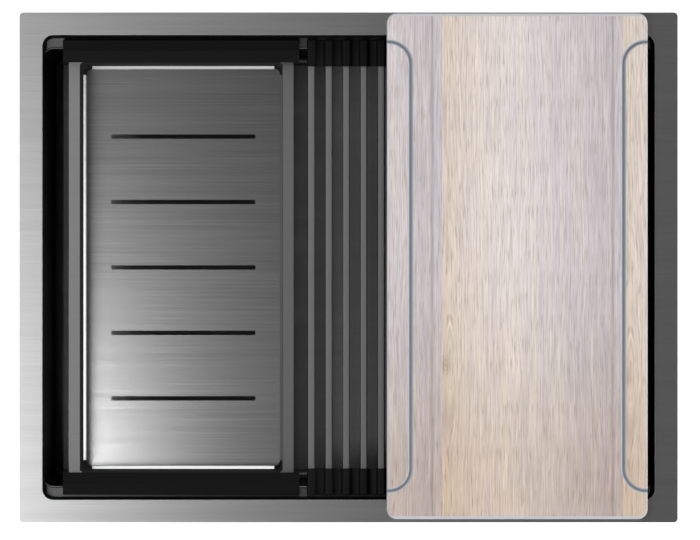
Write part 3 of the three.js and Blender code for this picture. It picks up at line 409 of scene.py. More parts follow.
def brushed_steel(name, colour, roughness, spread, depth=0.12, band_depth=0.06, slant_tint="#ffffff"):
    """Stainless steel sheet, ground with a belt along X.

    Fine scratches all run one way, so a highlight is short along them and long across them, and the eye reads
    the way of the brushing from faint streaks, with broader bands where the belt pressed harder. The real
    scratches are about 0.1 mm wide: they are drawn about a pixel wide so that they show at all.
    """
    material, tree, shader = new_material(name, Metallic=1.0, Roughness=roughness, Anisotropic=spread,
                                          Specular_Tint=shade(slant_tint))
    place = add(tree, "TexCoord").outputs["Object"]
    tones = []
    for wide, long, detail, swing in ((0.9 * MM, 160 * MM, 2.0, depth), (9 * MM, 225 * MM, 1.0, band_depth)):
        stretch = add(tree, "Mapping", {"Vector": place, "Scale": (1 / long, 1 / wide, 1 / wide)})
        lines = add(tree, "TexNoise", {"Vector": stretch, "Scale": 1.0, "Detail": detail, "Roughness": 0.6})
        tones.append(add(tree, "MapRange", {"Value": lines, "From Min": 0.2, "From Max": 0.8,
                                            "To Min": 1 - swing, "To Max": 1 + swing}))
    tone = add(tree, "Math", {0: tones[0], 1: tones[1]}, operation="MULTIPLY")
    tinted = add(tree, "Mix", {"Factor": 1.0, "A": shade(colour), "B": tone}, data_type="RGBA",
                 blend_type="MULTIPLY")
    tree.links.new(tinted.outputs["Result"], shader.inputs["Base Color"])
    grain = add(tree, "VectorTransform", {"Vector": (0, 1, 0)}, vector_type="VECTOR", convert_from="OBJECT",
                convert_to="WORLD")
    tree.links.new(grain.outputs["Vector"], shader.inputs["Tangent"])
    return material


def even_skin(name, colour, roughness, grit=0.35 * MM, height=0.02 * MM, gloss=0.1, metallic=0.0):
    """A surface without a direction, moulded, rolled, drawn or plated, with the fine grit of how it was made.

    Its tone clouds by a tenth over some 40 mm, as where it was handled.
    """
    material, tree, shader = new_material(name, Roughness=roughness, Specular_IOR_Level=gloss,
                                          Metallic=metallic)
    place = add(tree, "TexCoord").outputs["Object"]
    grain = add(tree, "TexNoise", {"Vector": place, "Scale": 1 / grit, "Detail": 2.0})
    bump = add(tree, "Bump", {"Height": grain, "Distance": height, "Strength": 0.5})
    tree.links.new(bump.outputs["Normal"], shader.inputs["Normal"])
    cloud = add(tree, "TexNoise", {"Vector": place, "Scale": 1 / (40 * MM), "Detail": 3.0})
    tone = add(tree, "MapRange", {"Value": cloud, "To Min": 0.9, "To Max": 1.1})
    tinted = add(tree, "Mix", {"Factor": 1.0, "A": shade(colour), "B": tone}, data_type="RGBA",
                 blend_type="MULTIPLY")
    tree.links.new(tinted.outputs["Result"], shader.inputs["Base Color"])
    return material


PRINT_START = 93.6 * MM  # a left edge of the printed plank
PRINT_PITCH = 180.7 * MM
PRINT_SHIFT = 12 * MM
KNOT_X = 3 * MM  # from the plank's left edge
KNOT_Y = -97.5 * MM
KNOT_HALF_X = 4.5 * MM
KNOT_HALF_Y = 10 * MM
KNOT_REACH = 13 * MM  # of the grain that bends round it, and seven times as far along
WANDER = 10 * MM
WANDER_WIDTH = 45 * MM
WANDER_LENGTH = 170 * MM


def oak_laminate(name):
    """Compact laminate: a printed oak decor under matt resin on both faces, and a blue-grey core.

    The print is a plank 180.7 mm wide that repeats along X, each time a little lower. Its colour runs from
    warm at its left edge to lilac at its right, its grain runs along Y and bends round a knot at its left
    edge, and short dark pores lie in it. Oak's pores are about 0.3 mm wide: they are drawn a pixel wide, so
    that they show. The core shows where the edges and the grooves are milled, with painted shade darkening
    it down in the grooves. Towards the front the print is darker, as painted shade, and a little yellower.
    """
    material, tree, shader = new_material(name, Roughness=0.5, Specular_IOR_Level=0.1)
    place = add(tree, "SeparateXYZ", {"Vector": add(tree, "TexCoord").outputs["Object"]}).outputs
    from_start = add(tree, "Math", {0: place["X"], 1: PRINT_START}, operation="SUBTRACT")
    planks = add(tree, "Math", {0: from_start, 1: PRINT_PITCH}, operation="DIVIDE")
    plank = add(tree, "Math", {0: planks}, operation="FLOOR")
    across = add(tree, "Math", {0: planks, 1: plank}, operation="SUBTRACT")
    x = add(tree, "Math", {0: across, 1: PRINT_PITCH}, operation="MULTIPLY")
    y = add(tree, "Math", {0: plank, 1: PRINT_SHIFT, 2: place["Y"]}, operation="MULTIPLY_ADD")

    # The grain wanders a few millimetres aside, and its lines pass the knot as water passes a pile:
    # x (1 - R squared / (r squared + a little)).
    wide = add(tree, "Math", {0: x, 1: WANDER_WIDTH}, operation="DIVIDE")
    long = add(tree, "Math", {0: y, 1: WANDER_LENGTH}, operation="DIVIDE")
    where = add(tree, "CombineXYZ", {"X": wide, "Y": long})
    wander = add(tree, "TexNoise", {"Vector": where, "Scale": 1.0, "Detail": 1.0})
    wander = add(tree, "Math", {0: wander, 1: 0.5}, operation="SUBTRACT")
    wander = add(tree, "Math", {0: wander, 1: WANDER}, operation="MULTIPLY")
    aside = add(tree, "Math", {0: x, 1: KNOT_X}, operation="SUBTRACT")
    along = add(tree, "Math", {0: y, 1: KNOT_Y}, operation="SUBTRACT")
    near_x = add(tree, "Math", {0: aside, 1: KNOT_REACH}, operation="DIVIDE")
    near_y = add(tree, "Math", {0: along, 1: 7 * KNOT_REACH}, operation="DIVIDE")
    squared_x = add(tree, "Math", {0: near_x, 1: near_x}, operation="MULTIPLY")
    squared_y = add(tree, "Math", {0: near_y, 1: near_y, 2: 0.4}, operation="MULTIPLY_ADD")
    reach = add(tree, "Math", {0: squared_x, 1: squared_y}, operation="ADD")
    push = add(tree, "Math", {0: near_x, 1: KNOT_REACH}, operation="MULTIPLY")
    push = add(tree, "Math", {0: push, 1: reach}, operation="DIVIDE")
    flow = add(tree, "Math", {0: aside, 1: push}, operation="SUBTRACT")
    flow = add(tree, "Math", {0: flow, 1: wander}, operation="ADD")

    # The plank's colours from its left edge to its right, with the dark line of a joint near the right.
    wood = add(tree, "ValToRGB", {"Fac": across})
    ramp = wood.color_ramp
    stops = [(0.0, "#e3d6c9"), (0.07, "#e5dbd0"), (0.2, "#e9e0db"), (0.4, "#ebe4e1"), (0.6, "#dfdadb"),
             (0.93, "#cfc9cd"), (0.945, "#b9b1b7"), (0.96, "#d6d0d4"), (1.0, "#d4ced2")]
    while len(ramp.elements) < len(stops):
        ramp.elements.new(0.5)
    for element, (position, colour) in zip(ramp.elements, stops):
        element.position = position
        element.color = shade(colour)

    # Cool and warm bands, the grain's lighter and darker lines, and the pores.
    layers = []
    for width, length, detail, part, lowest, highest, low, high in (
            (7 * MM, 220 * MM, 2.0, 2.0, 0.3, 0.7, 0.0, 1.0),
            (1.3 * MM, 60 * MM, 3.0, 5.0, 0.3, 0.7, 0.8, 1.16),
            (0.9 * MM, 22 * MM, 1.0, 9.0, 0.56, 0.7, 0.0, 0.55)):
        wide = add(tree, "Math", {0: flow, 1: width}, operation="DIVIDE")
        long = add(tree, "Math", {0: y, 1: length}, operation="DIVIDE")
        where = add(tree, "CombineXYZ", {"X": wide, "Y": long, "Z": part})
        lines = add(tree, "TexNoise", {"Vector": where, "Scale": 1.0, "Detail": detail})
        layers.append(add(tree, "MapRange", {"Value": lines, "From Min": lowest, "From Max": highest,
                                             "To Min": low, "To Max": high}))
    bands, grain, pores = layers
    colour_mix = {"data_type": "RGBA", "blend_type": "MIX"}
    tint_mix = {"data_type": "RGBA", "blend_type": "MULTIPLY"}
    cool = add(tree, "Mix", {"Factor": 1.0, "A": wood, "B": shade("#f1eef2")}, **tint_mix)
    warm = add(tree, "Mix", {"Factor": 1.0, "A": wood, "B": shade("#fffcf6")}, **tint_mix)
    wood = add(tree, "Mix", {"Factor": bands, "A": cool, "B": warm}, **colour_mix)
    wood = add(tree, "Mix", {"Factor": 1.0, "A": wood, "B": grain}, **tint_mix)
    wood = add(tree, "Mix", {"Factor": pores, "A": wood, "B": shade("#a08f86")}, **colour_mix)

    # The knot: rings that fade outwards from its middle.
    part_x = add(tree, "Math", {0: aside, 1: KNOT_HALF_X}, operation="DIVIDE")
    part_y = add(tree, "Math", {0: along, 1: KNOT_HALF_Y}, operation="DIVIDE")
    squared_x = add(tree, "Math", {0: part_x, 1: 2.0}, operation="POWER")
    squared_y = add(tree, "Math", {0: part_y, 1: 2.0}, operation="POWER")
    spot = add(tree, "Math", {0: squared_x, 1: squared_y}, operation="ADD")
    spot = add(tree, "Math", {0: spot}, operation="SQRT")
    rings = add(tree, "Math", {0: spot, 1: 14.0}, operation="MULTIPLY")
    rings = add(tree, "Math", {0: rings}, operation="SINE")
    rings = add(tree, "Math", {0: rings, 1: 0.2, 2: 0.8}, operation="MULTIPLY_ADD")
    fade = add(tree, "MapRange", {"Value": spot, "From Min": 0.2, "From Max": 1.7, "To Min": 0.5,
                                  "To Max": 0.0}, interpolation_type="SMOOTHSTEP")
    knot = add(tree, "Math", {0: fade, 1: rings}, operation="MULTIPLY")
    wood = add(tree, "Mix", {"Factor": knot, "A": wood, "B": shade("#9c8473")}, **colour_mix)

    # Towards the front the print is darker, as painted shade, and a little yellower.
    front = add(tree, "MapRange", {"Value": place["Y"], "From Min": 30 * MM, "From Max": -250 * MM},
                interpolation_type="SMOOTHSTEP")
    front_shade_and_tint = add(tree, "Mix", {"Factor": front, "A": shade("#ffffff"), "B": shade("#efe6db")}, **colour_mix)
    wood = add(tree, "Mix", {"Factor": 1.0, "A": wood, "B": front_shade_and_tint}, **tint_mix)

    # The core shows below the printed paper, which is under 0.1 mm thick: pale where the edges are milled,
    # darkened down in the grooves as painted shade, and pale again in the last 3 mm at both ends.
    half = (BOARD_HIGH.z - BOARD_LOW.z) / 2
    from_middle = add(tree, "Math", {0: place["Z"], 1: BOARD_LOW.z + half}, operation="SUBTRACT")
    from_middle = add(tree, "Math", {0: from_middle}, operation="ABSOLUTE")
    depth = add(tree, "Math", {0: half, 1: from_middle}, operation="SUBTRACT")
    from_middle = add(tree, "Math", {0: place["Y"], 1: BOARD_Y}, operation="SUBTRACT")
    from_middle = add(tree, "Math", {0: from_middle}, operation="ABSOLUTE")
    to_end = add(tree, "Math", {0: (BOARD_HIGH.y - BOARD_LOW.y) / 2, 1: from_middle}, operation="SUBTRACT")
    groove_shade = add(tree, "MapRange", {"Value": depth, "From Min": 0.9 * MM, "From Max": 2.6 * MM})
    clear = add(tree, "MapRange", {"Value": to_end, "From Min": 3 * MM, "From Max": 5 * MM})
    groove_shade = add(tree, "Math", {0: groove_shade, 1: clear}, operation="MULTIPLY")
    core = add(tree, "Mix", {"Factor": groove_shade, "A": shade("#c4c7cc"), "B": shade("#7b8089")}, **colour_mix)
    below = add(tree, "MapRange", {"Value": depth, "From Min": 0.05 * MM, "From Max": 0.09 * MM})
    end_band = add(tree, "MapRange", {"Value": to_end, "From Min": 2.8 * MM, "From Max": 3 * MM,
                                      "To Min": 1.0, "To Max": 0.0})
    inside = add(tree, "Math", {0: below, 1: end_band}, operation="MAXIMUM")
    seen = add(tree, "Mix", {"Factor": inside, "A": wood, "B": core}, **colour_mix)
    tree.links.new(seen.outputs["Result"], shader.inputs["Base Color"])
    lines = add(tree, "Math", {0: grain, 1: pores}, operation="SUBTRACT")
    relief = add(tree, "Bump", {"Height": lines, "Distance": 0.03 * MM, "Strength": 0.4})
    tree.links.new(relief.outputs["Normal"], shader.inputs["Normal"])
    return material


# Stainless steel plate, ground with a fine belt and left bare: soft streaks and a broad highlight.
DECK_STEEL = brushed_steel("brushed_deck_plate", "#9b9b9b", 0.377, 0.6, depth=0.08, band_depth=0.05)

# Stainless steel sheet of the bowl, ground before it was folded. The floor has the clearest streaks. The
# walls are painted shade: a darker grey than the floor, and what they reflect at a slant is tinted dark, as
# they mostly reflect one another's dark sides.
FLOOR_STEEL = brushed_steel("brushed_bowl_floor", "#adadad", 0.25, 0.5, depth=0.2)
WALL_STEEL = brushed_steel("brushed_bowl_wall_painted_shade", "#5c5c5c", 0.3, 0.3, slant_tint="#404040")

# The same sheet on the ledges, ground to and fro, so that it is even; its darker grey is painted shade of
# the ledges sunk below the deck. The folds beside them are painted shade: a dark, dull grey, made as the
# matt skins are, that stands in for the shadow along each ledge.
LEDGE_STEEL = brushed_steel("ground_bowl_ledge", "#6c6c6c", 0.467, 1.0, depth=0.08, band_depth=0.0)
FOLD_SHADE = even_skin("painted_shade_bowl_fold", "#1c1c1c", 0.7, gloss=0.05)

# Stainless steel sheet of the colander: a finely ground floor with a narrow, bright highlight, and level
# flanges ground even. The walls are painted shade, a dark matt grey. The right bend is painted shade too,
# a matt mid grey that keeps it from showing a highlight.
TRAY_STEEL = brushed_steel("brushed_tray_sheet", "#9f9f9f", 0.235, 0.4, depth=0.22, band_depth=0.05)
TRAY_WALL_SHADE = even_skin("painted_shade_tray_wall", "#262626", 0.7, gloss=0.05)
RIGHT_BEND_SHADE = even_skin("painted_shade_tray_bend", "#6c6c6c", 0.7, gloss=0.05)
FLANGE_STEEL = brushed_steel("ground_tray_flange", "#878787", 0.467, 1.0, depth=0.05, band_depth=0.0)

# Drawn stainless steel tube, ground: its shine is spread so wide that each bar is an even grey.
BAR_STEEL = brushed_steel("ground_bar_tube", "#939393", 0.594, 0.957, depth=0.04, band_depth=0.0)

# Pressed stainless steel, polished in a drum: bright, with a highlight as long as it is wide.
PRESSED_STEEL = brushed_steel("pressed_waste_steel", "#bababa", 0.25, 0.0)

# Mild steel plated with zinc: a bluish metal, a little cloudy, with a soft shine.
ZINC = even_skin("zinc_plated_steel", "#85878a", 0.4, metallic=1.0)

# ABS, moulded in a tool with a fine spark-eroded finish: black, with hardly a highlight.
BLACK_PLASTIC = even_skin("moulded_black_plastic", "#0b0b0c", 0.6)

# Silicone rubber, pressed in a smoother tool: black, with a slightly tighter sheen than the plastic.
SILICONE = even_skin("moulded_silicone", "#101011", 0.55)

# Rubber sheet with a coarse rolled grain, glued on against noise: quite matt.
PAD_RUBBER = even_skin("sound_damping_sheet", "#4a4c4f", 0.85, grit=2 * MM, height=0.3 * MM)

# Nitrile rubber, moulded: a dark, matt grey.
SEAL_RUBBER = even_skin("seal_rubber", "#2a2a2b", 0.7)

OAK = oak_laminate("oak_decor_laminate")

# ---------------------------------------------------------------- Deck and bowl

# Points along the straight sides, which the floor's slopes to the round waste need.
BOWL_X_STOPS = np.linspace(-OPENING_X + OPENING_RADIUS, OPENING_X - OPENING_RADIUS, 33)
BOWL_Y_STOPS = np.linspace(-WALL_Y + WALL_RADIUS, WALL_Y - WALL_RADIUS, 25)


def bowl_ring(half_x, half_y, radius, z):
    """A level rounded rectangle with the bowl's stops along its sides."""
    return level(rounded_rectangle(half_x, half_y, radius, 8, BOWL_X_STOPS, BOWL_Y_STOPS), z)


def opening_ring(grow, z):
    """The deck's opening moved outward by grow, as a level ring."""
    return level(rounded_rectangle(OPENING_X + grow, OPENING_Y + grow, OPENING_RADIUS + grow), z)


def deck_shape():
    """The plate's section carried round: up the outer edge, across the top, down into the opening and back
    along the rebate that holds the bowl's lap. Both upper edges are broken with a small radius."""
    top, foot = DECK_HIGH.z, DECK_LOW.z

    def outer(narrowing, z):
        flat = rounded_rectangle(DECK_HIGH.x - narrowing, DECK_HIGH.y - narrowing, DECK_RADIUS - narrowing)
        return level(flat, z)

    turn = np.linspace(0, QUARTER, 5)
    edge = [(DECK_EDGE * (1 - math.cos(a)), DECK_EDGE * (1 - math.sin(a))) for a in turn]
    rings = [outer(0, foot)]
    rings += [outer(narrow, top - drop) for narrow, drop in edge]
    rings += [opening_ring(narrow, top - drop) for narrow, drop in edge[::-1]]
    rebate = SHEET + LAP + FIT
    rings += [opening_ring(0, SHEET), opening_ring(rebate, SHEET), opening_ring(rebate, foot)]
    return loft(rings, wrap=True)


def bowl_profile(grow):
    """The bowl's skin from the deck's underside down to the floor's edge, moved outward by grow.

    It gives half width, half depth, corner radius and height for each ring: straight down, a fold onto the
    ledge, a fold over its inner edge, straight down, and the floor's fillet. The side walls have no ledge.
    """
    rows = []
    turn = np.linspace(0, QUARTER, 5)
    outer_fold, inner_fold = FOLD + grow, FOLD - grow / 2
    corner = OPENING_RADIUS + grow
    ledge_z = LEDGE_Z - grow
    for a in turn:
        rows.append((OPENING_Y + grow - outer_fold * (1 - math.cos(a)), corner,
                     ledge_z + outer_fold * (1 - math.sin(a))))
    corner = WALL_RADIUS + grow
    for a in turn:
        rows.append((WALL_Y + grow + inner_fold * (1 - math.sin(a)), corner,
                     ledge_z - inner_fold * (1 - math.cos(a))))
    rings = [bowl_ring(OPENING_X + grow, half_y, radius, z) for half_y, radius, z in rows]
    fillet = FLOOR_FILLET + grow
    for a in np.linspace(0, QUARTER, 7):
        away = fillet * (1 - math.cos(a))
        radius = max(WALL_RADIUS + grow - away, 2 * MM)
        rings.append(bowl_ring(OPENING_X + grow - away, WALL_Y + grow - away, radius,
                               FLOOR_Z - grow + fillet * (1 - math.sin(a))))
    return rings


def waste_ring(like, radius, z):
    """A circle round the waste's axis, each point in the direction of the same point of another ring."""
    away = like[:, :2] - np.array([WASTE_X, WASTE_Y])
    away /= np.linalg.norm(away, axis=1)[:, None]
    return level(np.array([WASTE_X, WASTE_Y]) + radius * away, z)


def floor_rings(edge, drop):
    """The pitched floor, in straight lines to the waste's recess, and the recess down to the drain hole."""
    edge_softness = 1 * MM
    rim = waste_ring(edge, RECESS_RADIUS + edge_softness, WASTE_Z - drop)
    rings = [edge + (rim - edge) * share for share in np.linspace(0, 1, 5)[1:]]
    foot = WASTE_Z - RECESS_DROP - drop
    for a in np.linspace(0, QUARTER, 4)[1:]:
        radius = RECESS_RADIUS + edge_softness * (1 - math.sin(a))
        rings.append(waste_ring(edge, radius, WASTE_Z - drop - edge_softness * (1 - math.cos(a))))
    rings.append(waste_ring(edge, RECESS_RADIUS, foot))
    rings.append(waste_ring(edge, DRAIN_RADIUS, foot))
    return rings


def bowl_shape():
    """The sheet's inner skin down to the drain and its outer skin back up to the lap, as one closed loop."""
    inner = bowl_profile(0)
    outer = bowl_profile(SHEET)
    inside = [bowl_ring(OPENING_X, OPENING_Y, OPENING_RADIUS, SHEET)] + inner + floor_rings(inner[-1], 0)
    outside = [bowl_ring(OPENING_X + SHEET, OPENING_Y + SHEET, OPENING_RADIUS + SHEET, 0)] + outer
    outside += floor_rings(outer[-1], SHEET)
    lap = LAP + SHEET
    edge = [bowl_ring(OPENING_X + lap, OPENING_Y + lap, OPENING_RADIUS + lap, z) for z in (0, SHEET)]
    return loft(inside + outside[::-1] + edge, wrap=True)


finish(made_mesh("deck", deck_shape()), DECK_STEEL, "deck_steel", "sink", "deck_plate")
bowl = made_mesh("bowl", bowl_shape())
overflow_hole = bar(circle(OVERFLOW_HOLE, 12), [(WALL_Y - SHEET, 0), (WALL_Y + 2 * SHEET, 0)], "y")
cut(bowl, moved(overflow_hole, WASTE_X, 0, OVERFLOW_Z))
finish(bowl, WALL_STEEL, "bowl_steel", "sink", "bowl_shell")
middle, normal = faces_of(bowl)
height = middle[:, 2] - LEDGE_Z
ground = (abs(height) < 0.05 * MM) & (normal[:, 2] > LEVEL) & (abs(middle[:, 0]) < OPENING_X - LEDGE_END)
# The folds beside the ledges get the dark matt grey of painted shade, and the ground ledges their darkened
# grey, also painted shade.
fold = (height > -NEAR) & (height < FOLD) & (normal[:, 2] > 0.01)
dress(bowl, (FLOOR_STEEL, LEDGE_STEEL, FOLD_SHADE), ((1, middle[:, 2] < FLOOR_Z), (2, ground), (3, fold)))

# ---------------------------------------------------------------- Waste and basket

CUP_SHEET = 1 * MM
THROAT = 42.6 * MM
SEAT_DROP = 4.5 * MM
SEAT_RADIUS = 40.4 * MM
CUP_FOOT = 38 * MM
CUP_FLOOR_Z = WASTE_Z - 46 * MM
CUP_BEND = 4 * MM
ROLL = 0.6 * MM  # radius of the cup's pressed edges
BASKET_SHEET = 0.8 * MM
BASKET_PLAY = 0.8 * MM
BASKET_TOP_Z = WASTE_Z - SEAT_DROP + FIT + BASKET_SHEET
BASKET_FLOOR_Z = BASKET_TOP_Z - 27 * MM
BASKET_FOOT = 36.9 * MM
BASKET_BEND = 3 * MM
BASKET_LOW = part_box("basket_cup")[0]
KNOB_LOW, KNOB_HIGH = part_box("basket_knob")
NUT_LOW, NUT_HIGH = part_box("outlet_nut")


def drilled(radius, away, count, z):
    """Round holes through a floor, evenly spaced about the waste's axis, the first of them towards +X."""
    hole = bar(circle(radius, 6), [(z - 2 * MM, 0), (z + 2 * MM, 0)], "z")
    turns = np.linspace(0, 2 * math.pi, count, endpoint=False)
    return [moved(hole, WASTE_X + away * math.cos(a), WASTE_Y + away * math.sin(a)) for a in turns]


def cup_shape():
    """The cup's section turned: flange, throat, the basket's seat, a tapered wall and a rounded foot."""
    top, seat, foot = WASTE_Z, WASTE_Z - SEAT_DROP, CUP_FLOOR_Z
    flange, hole = CUP_HIGH.x - WASTE_X, 3.3 * MM
    bend_r, bend_z = CUP_FOOT - CUP_BEND, foot + CUP_BEND
    inside = [(flange, top), *arc(THROAT + ROLL, top - ROLL, ROLL, 90, 180), (THROAT, seat),
              *arc(SEAT_RADIUS + ROLL, seat - ROLL, ROLL, 90, 180), *arc(bend_r, bend_z, CUP_BEND, 0, -90),
              (hole, foot)]
    outside = [(hole, foot - CUP_SHEET), *arc(bend_r, bend_z, CUP_BEND + CUP_SHEET, -90, 0),
               (SEAT_RADIUS + CUP_SHEET, seat - CUP_SHEET), (THROAT + CUP_SHEET, seat - CUP_SHEET),
               (THROAT + CUP_SHEET, top - CUP_SHEET), (flange, top - CUP_SHEET)]
    return lathe(inside + outside, WASTE_X, WASTE_Y)


def basket_shape():
    """The basket's section turned: a post under its knob, a flat foot, a bend, a tapered wall and a rim, and
    back along the outside to the stem that holds the seal."""
    top, foot = BASKET_TOP_Z, BASKET_FLOOR_Z
    post, stem, rim, wall = 4 * MM, 2.5 * MM, THROAT - BASKET_PLAY, SEAT_RADIUS - BASKET_PLAY
    bend_r, bend_z = BASKET_FOOT - BASKET_SHEET - BASKET_BEND, foot + BASKET_BEND
    profile = [(0, KNOB_LOW.z - FIT), (post, KNOB_LOW.z - FIT), (post, foot),
               *arc(bend_r, bend_z, BASKET_BEND, -90, 0), (wall - BASKET_SHEET, top), (rim, top),
               (rim, top - BASKET_SHEET), (wall, top - BASKET_SHEET),
               *arc(bend_r, bend_z, BASKET_BEND + BASKET_SHEET, 0, -90), (stem, foot - BASKET_SHEET),
               (stem, BASKET_LOW.z), (0, BASKET_LOW.z)]
    return lathe(profile, WASTE_X, WASTE_Y, closed=False)


def knob_shape():
    """The knob's section turned: a slightly hollow top with a rounded edge, an upright band, and a narrower
    waist to lift it by."""
    radius, edge, band, waist = (KNOB_HIGH.x - KNOB_LOW.x) / 2, 1.5 * MM, 1.5 * MM, 7.7 * MM
    top, foot, hollow = KNOB_HIGH.z, KNOB_LOW.z, 0.3 * MM
    profile = [(0, top - hollow), (radius - 3 * edge, top), *arc(radius - edge, top - edge, edge, 90, 0),
               (radius, top - edge - band), (waist, foot), (0, foot)]
    return lathe(profile, WASTE_X, WASTE_Y, closed=False)


def nut_shape():
    """The nut's section turned, with grip ribs: their height times 2 cos(8 a) - 0.6, cut off at 0 and 1."""
    ribs, rib, wall, lip, bore = 8, 2 * MM, 5 * MM, 2.5 * MM, 20 * MM
    outer = (NUT_HIGH.x - NUT_LOW.x) / 2 - rib
    foot, top = NUT_LOW.z, NUT_HIGH.z
    plain, ramp = 1 * MM, 1.6 * MM
    rows = [(outer - wall, top, 0), (outer - wall, foot + lip, 0), (bore, foot + lip, 0), (bore, foot, 0),
            (outer, foot, 0), (outer, foot + plain, 0), (outer, foot + ramp, 1),
            (outer, top - ramp, 1), (outer, top - plain, 0), (outer, top, 0)]
    angle = np.linspace(0, 2 * math.pi, 24 * ribs, endpoint=False)
    ridge = rib * np.clip(2 * np.cos(ribs * angle) - 0.6, 0, 1)
    around = np.column_stack([np.cos(angle), np.sin(angle)])
    rings = [level((radius + share * ridge)[:, None] * around, z) for radius, z, share in rows]
    return moved(loft(rings, wrap=True), WASTE_X, WASTE_Y)


cup = made_mesh("waste_cup_pressed", cup_shape())
cut(cup, *drilled(6 * MM, 22 * MM, 6, CUP_FLOOR_Z))
finish(cup, PRESSED_STEEL, "pressed_steel", "sink", "waste_cup")
basket = made_mesh("basket_pressed", basket_shape())
cut(basket, *drilled(3 * MM, 28 * MM, 8, BASKET_FLOOR_Z), *drilled(3 * MM, 16 * MM, 4, BASKET_FLOOR_Z))
finish(basket, PRESSED_STEEL, "pressed_steel", "basket", "basket_cup")
finish(made_mesh("basket_button", knob_shape()), BLACK_PLASTIC, "black_plastic", "basket", "basket_knob")
finish(made_mesh("outlet_grip_nut", nut_shape()), BLACK_PLASTIC, "black_plastic", "sink", "outlet_nut")

# ---------------------------------------------------------------- Colander


def tray_ring(grow, z, radius=TRAY_RADIUS):
    """The pan's outline moved outward by grow, as a level ring."""
    return level(rounded_rectangle(TRAY_HALF_X + grow, TRAY_HALF_Y + grow, max(radius + grow, 1.5 * MM)), z)


def tray_pan(grow, flange_z):
    """The pan from its flange's edge to the middle of its floor, moved outward by grow.

    Wall and floor are joined by a bend that is pressed flat at 30 degrees, whose two ends are parabolas,
    corner - soft (1 - t)^2 before + soft t^2 after. The floor rises towards the bends at its left and right
    by lift times e to the (-distance / reach), and less the further right.
    """
    fold = TRAY_FOLD - grow
    flange_x = TRAY_HIGH.x - TRAY_X
    flange_y = TRAY_HIGH.y
    rings = [level(rounded_rectangle(flange_x, flange_y, TRAY_RADIUS), flange_z)]
    rings += [tray_ring(grow + fold * (1 - math.sin(a)), flange_z - fold * (1 - math.cos(a)),
                        radius=TRAY_MOUTH_RADIUS) for a in np.linspace(0, QUARTER, 5)]
    floor_z = TRAY_FLOOR_Z - grow
    soft = 0.25 * MM
    foot = TRAY_BEND - grow * math.tan(TRAY_SLANT / 2)
    head = TRAY_BEND_RISE + grow * (1 - math.tan(TRAY_SLANT))
    down, inwards = np.array([0, -1.0]), np.array([1.0, 0])
    slope = np.array([math.cos(TRAY_SLANT), -math.sin(TRAY_SLANT)])
    for corner, before, after in (((-grow, head), down, slope), ((foot, 0), slope, inwards)):
        for t in np.linspace(0, 1, 5):
            inward, up = np.array(corner) - soft * (1 - t) ** 2 * before + soft * t**2 * after
            rings.append(tray_ring(-inward, floor_z + up))
    for reach in (1, 2, 3.5, 5, 7, 10, 14, 20):
        rings.append(tray_ring(-foot - reach * MM, floor_z))
    edge = rings[-1]
    rings += [edge * np.array([share, share, 1]) for share in np.linspace(1, 0, 7)[1:]]
    for ring in rings:
        away = np.maximum(TRAY_HALF_X - TRAY_BEND - np.abs(ring[:, 0]), 0)
        flat = ring[:, 2] < floor_z + NEAR
        rise = TRAY_LIFT * np.exp(-away / TRAY_LIFT_REACH) * (1 - ring[:, 0] / TRAY_HALF_X) / 2
        ring[:, 2] += np.where(flat, rise, 0)
    return rings


def tray_shape():
    """The pan's upper skin inwards and its lower skin back out again, as one closed loop."""
    upper = tray_pan(0, TRAY_HIGH.z)
    lower = tray_pan(TRAY_SHEET, TRAY_HIGH.z - TRAY_SHEET)
    return moved(loft(upper + lower[::-1], wrap=True), TRAY_X)


def tray_slots():
    """A long slot's outline carried down through the floor, once for each step along Y."""
    outline = rounded_rectangle(TRAY_SLOT_LENGTH / 2, TRAY_SLOT_WIDTH / 2, 1.4 * MM, 4)
    slot = bar(outline, [(TRAY_FLOOR_Z - 4 * MM, 0), (TRAY_FLOOR_Z + 4 * MM, 0)], "z")
    middle = (TRAY_SLOTS - 1) / 2
    return [moved(slot, TRAY_X, (i - middle) * TRAY_SLOT_PITCH) for i in range(TRAY_SLOTS)]


def handle_shape():
    """The handle's section carried along X: a flat outer half, a falling inner half, the slot that grips the
    tray's flange, and the rib that hooks behind the bowl's wall."""
    inner, outer, top = HANDLE_LOW.y, HANDLE_HIGH.y, HANDLE_HIGH.z
    foot = LEDGE_Z + FIT
    rib_face = WALL_Y - 0.8 * MM
    rib_width, rib_foot = 4 * MM, HANDLE_LOW.z
    slot_back = TRAY_HIGH.y + 1.1 * MM
    slot_top, slot_foot = TRAY_HIGH.z + FIT, TRAY_HIGH.z - TRAY_SHEET - FIT
    flat, slope, soft, crisp = 10.9 * MM, 3 * MM, 0.6 * MM, 0.25 * MM
    corners = [
        (inner, foot, crisp), (rib_face - rib_width, foot, crisp), (rib_face - rib_width, rib_foot, soft),
        (rib_face, rib_foot, soft), (rib_face, foot, crisp), (outer, foot, crisp), (outer, top, soft),
        (outer - flat, top, soft), (inner, top - slope, soft), (inner, slot_top, crisp),
        (slot_back, slot_top, crisp), (slot_back, slot_foot, crisp), (inner, slot_foot, crisp),
    ]
    outline = filleted([c[:2] for c in corners], [c[2] for c in corners])
    return bar(outline, rounded_ends(HANDLE_LOW.x, HANDLE_HIGH.x, 0.28 * MM), "x")


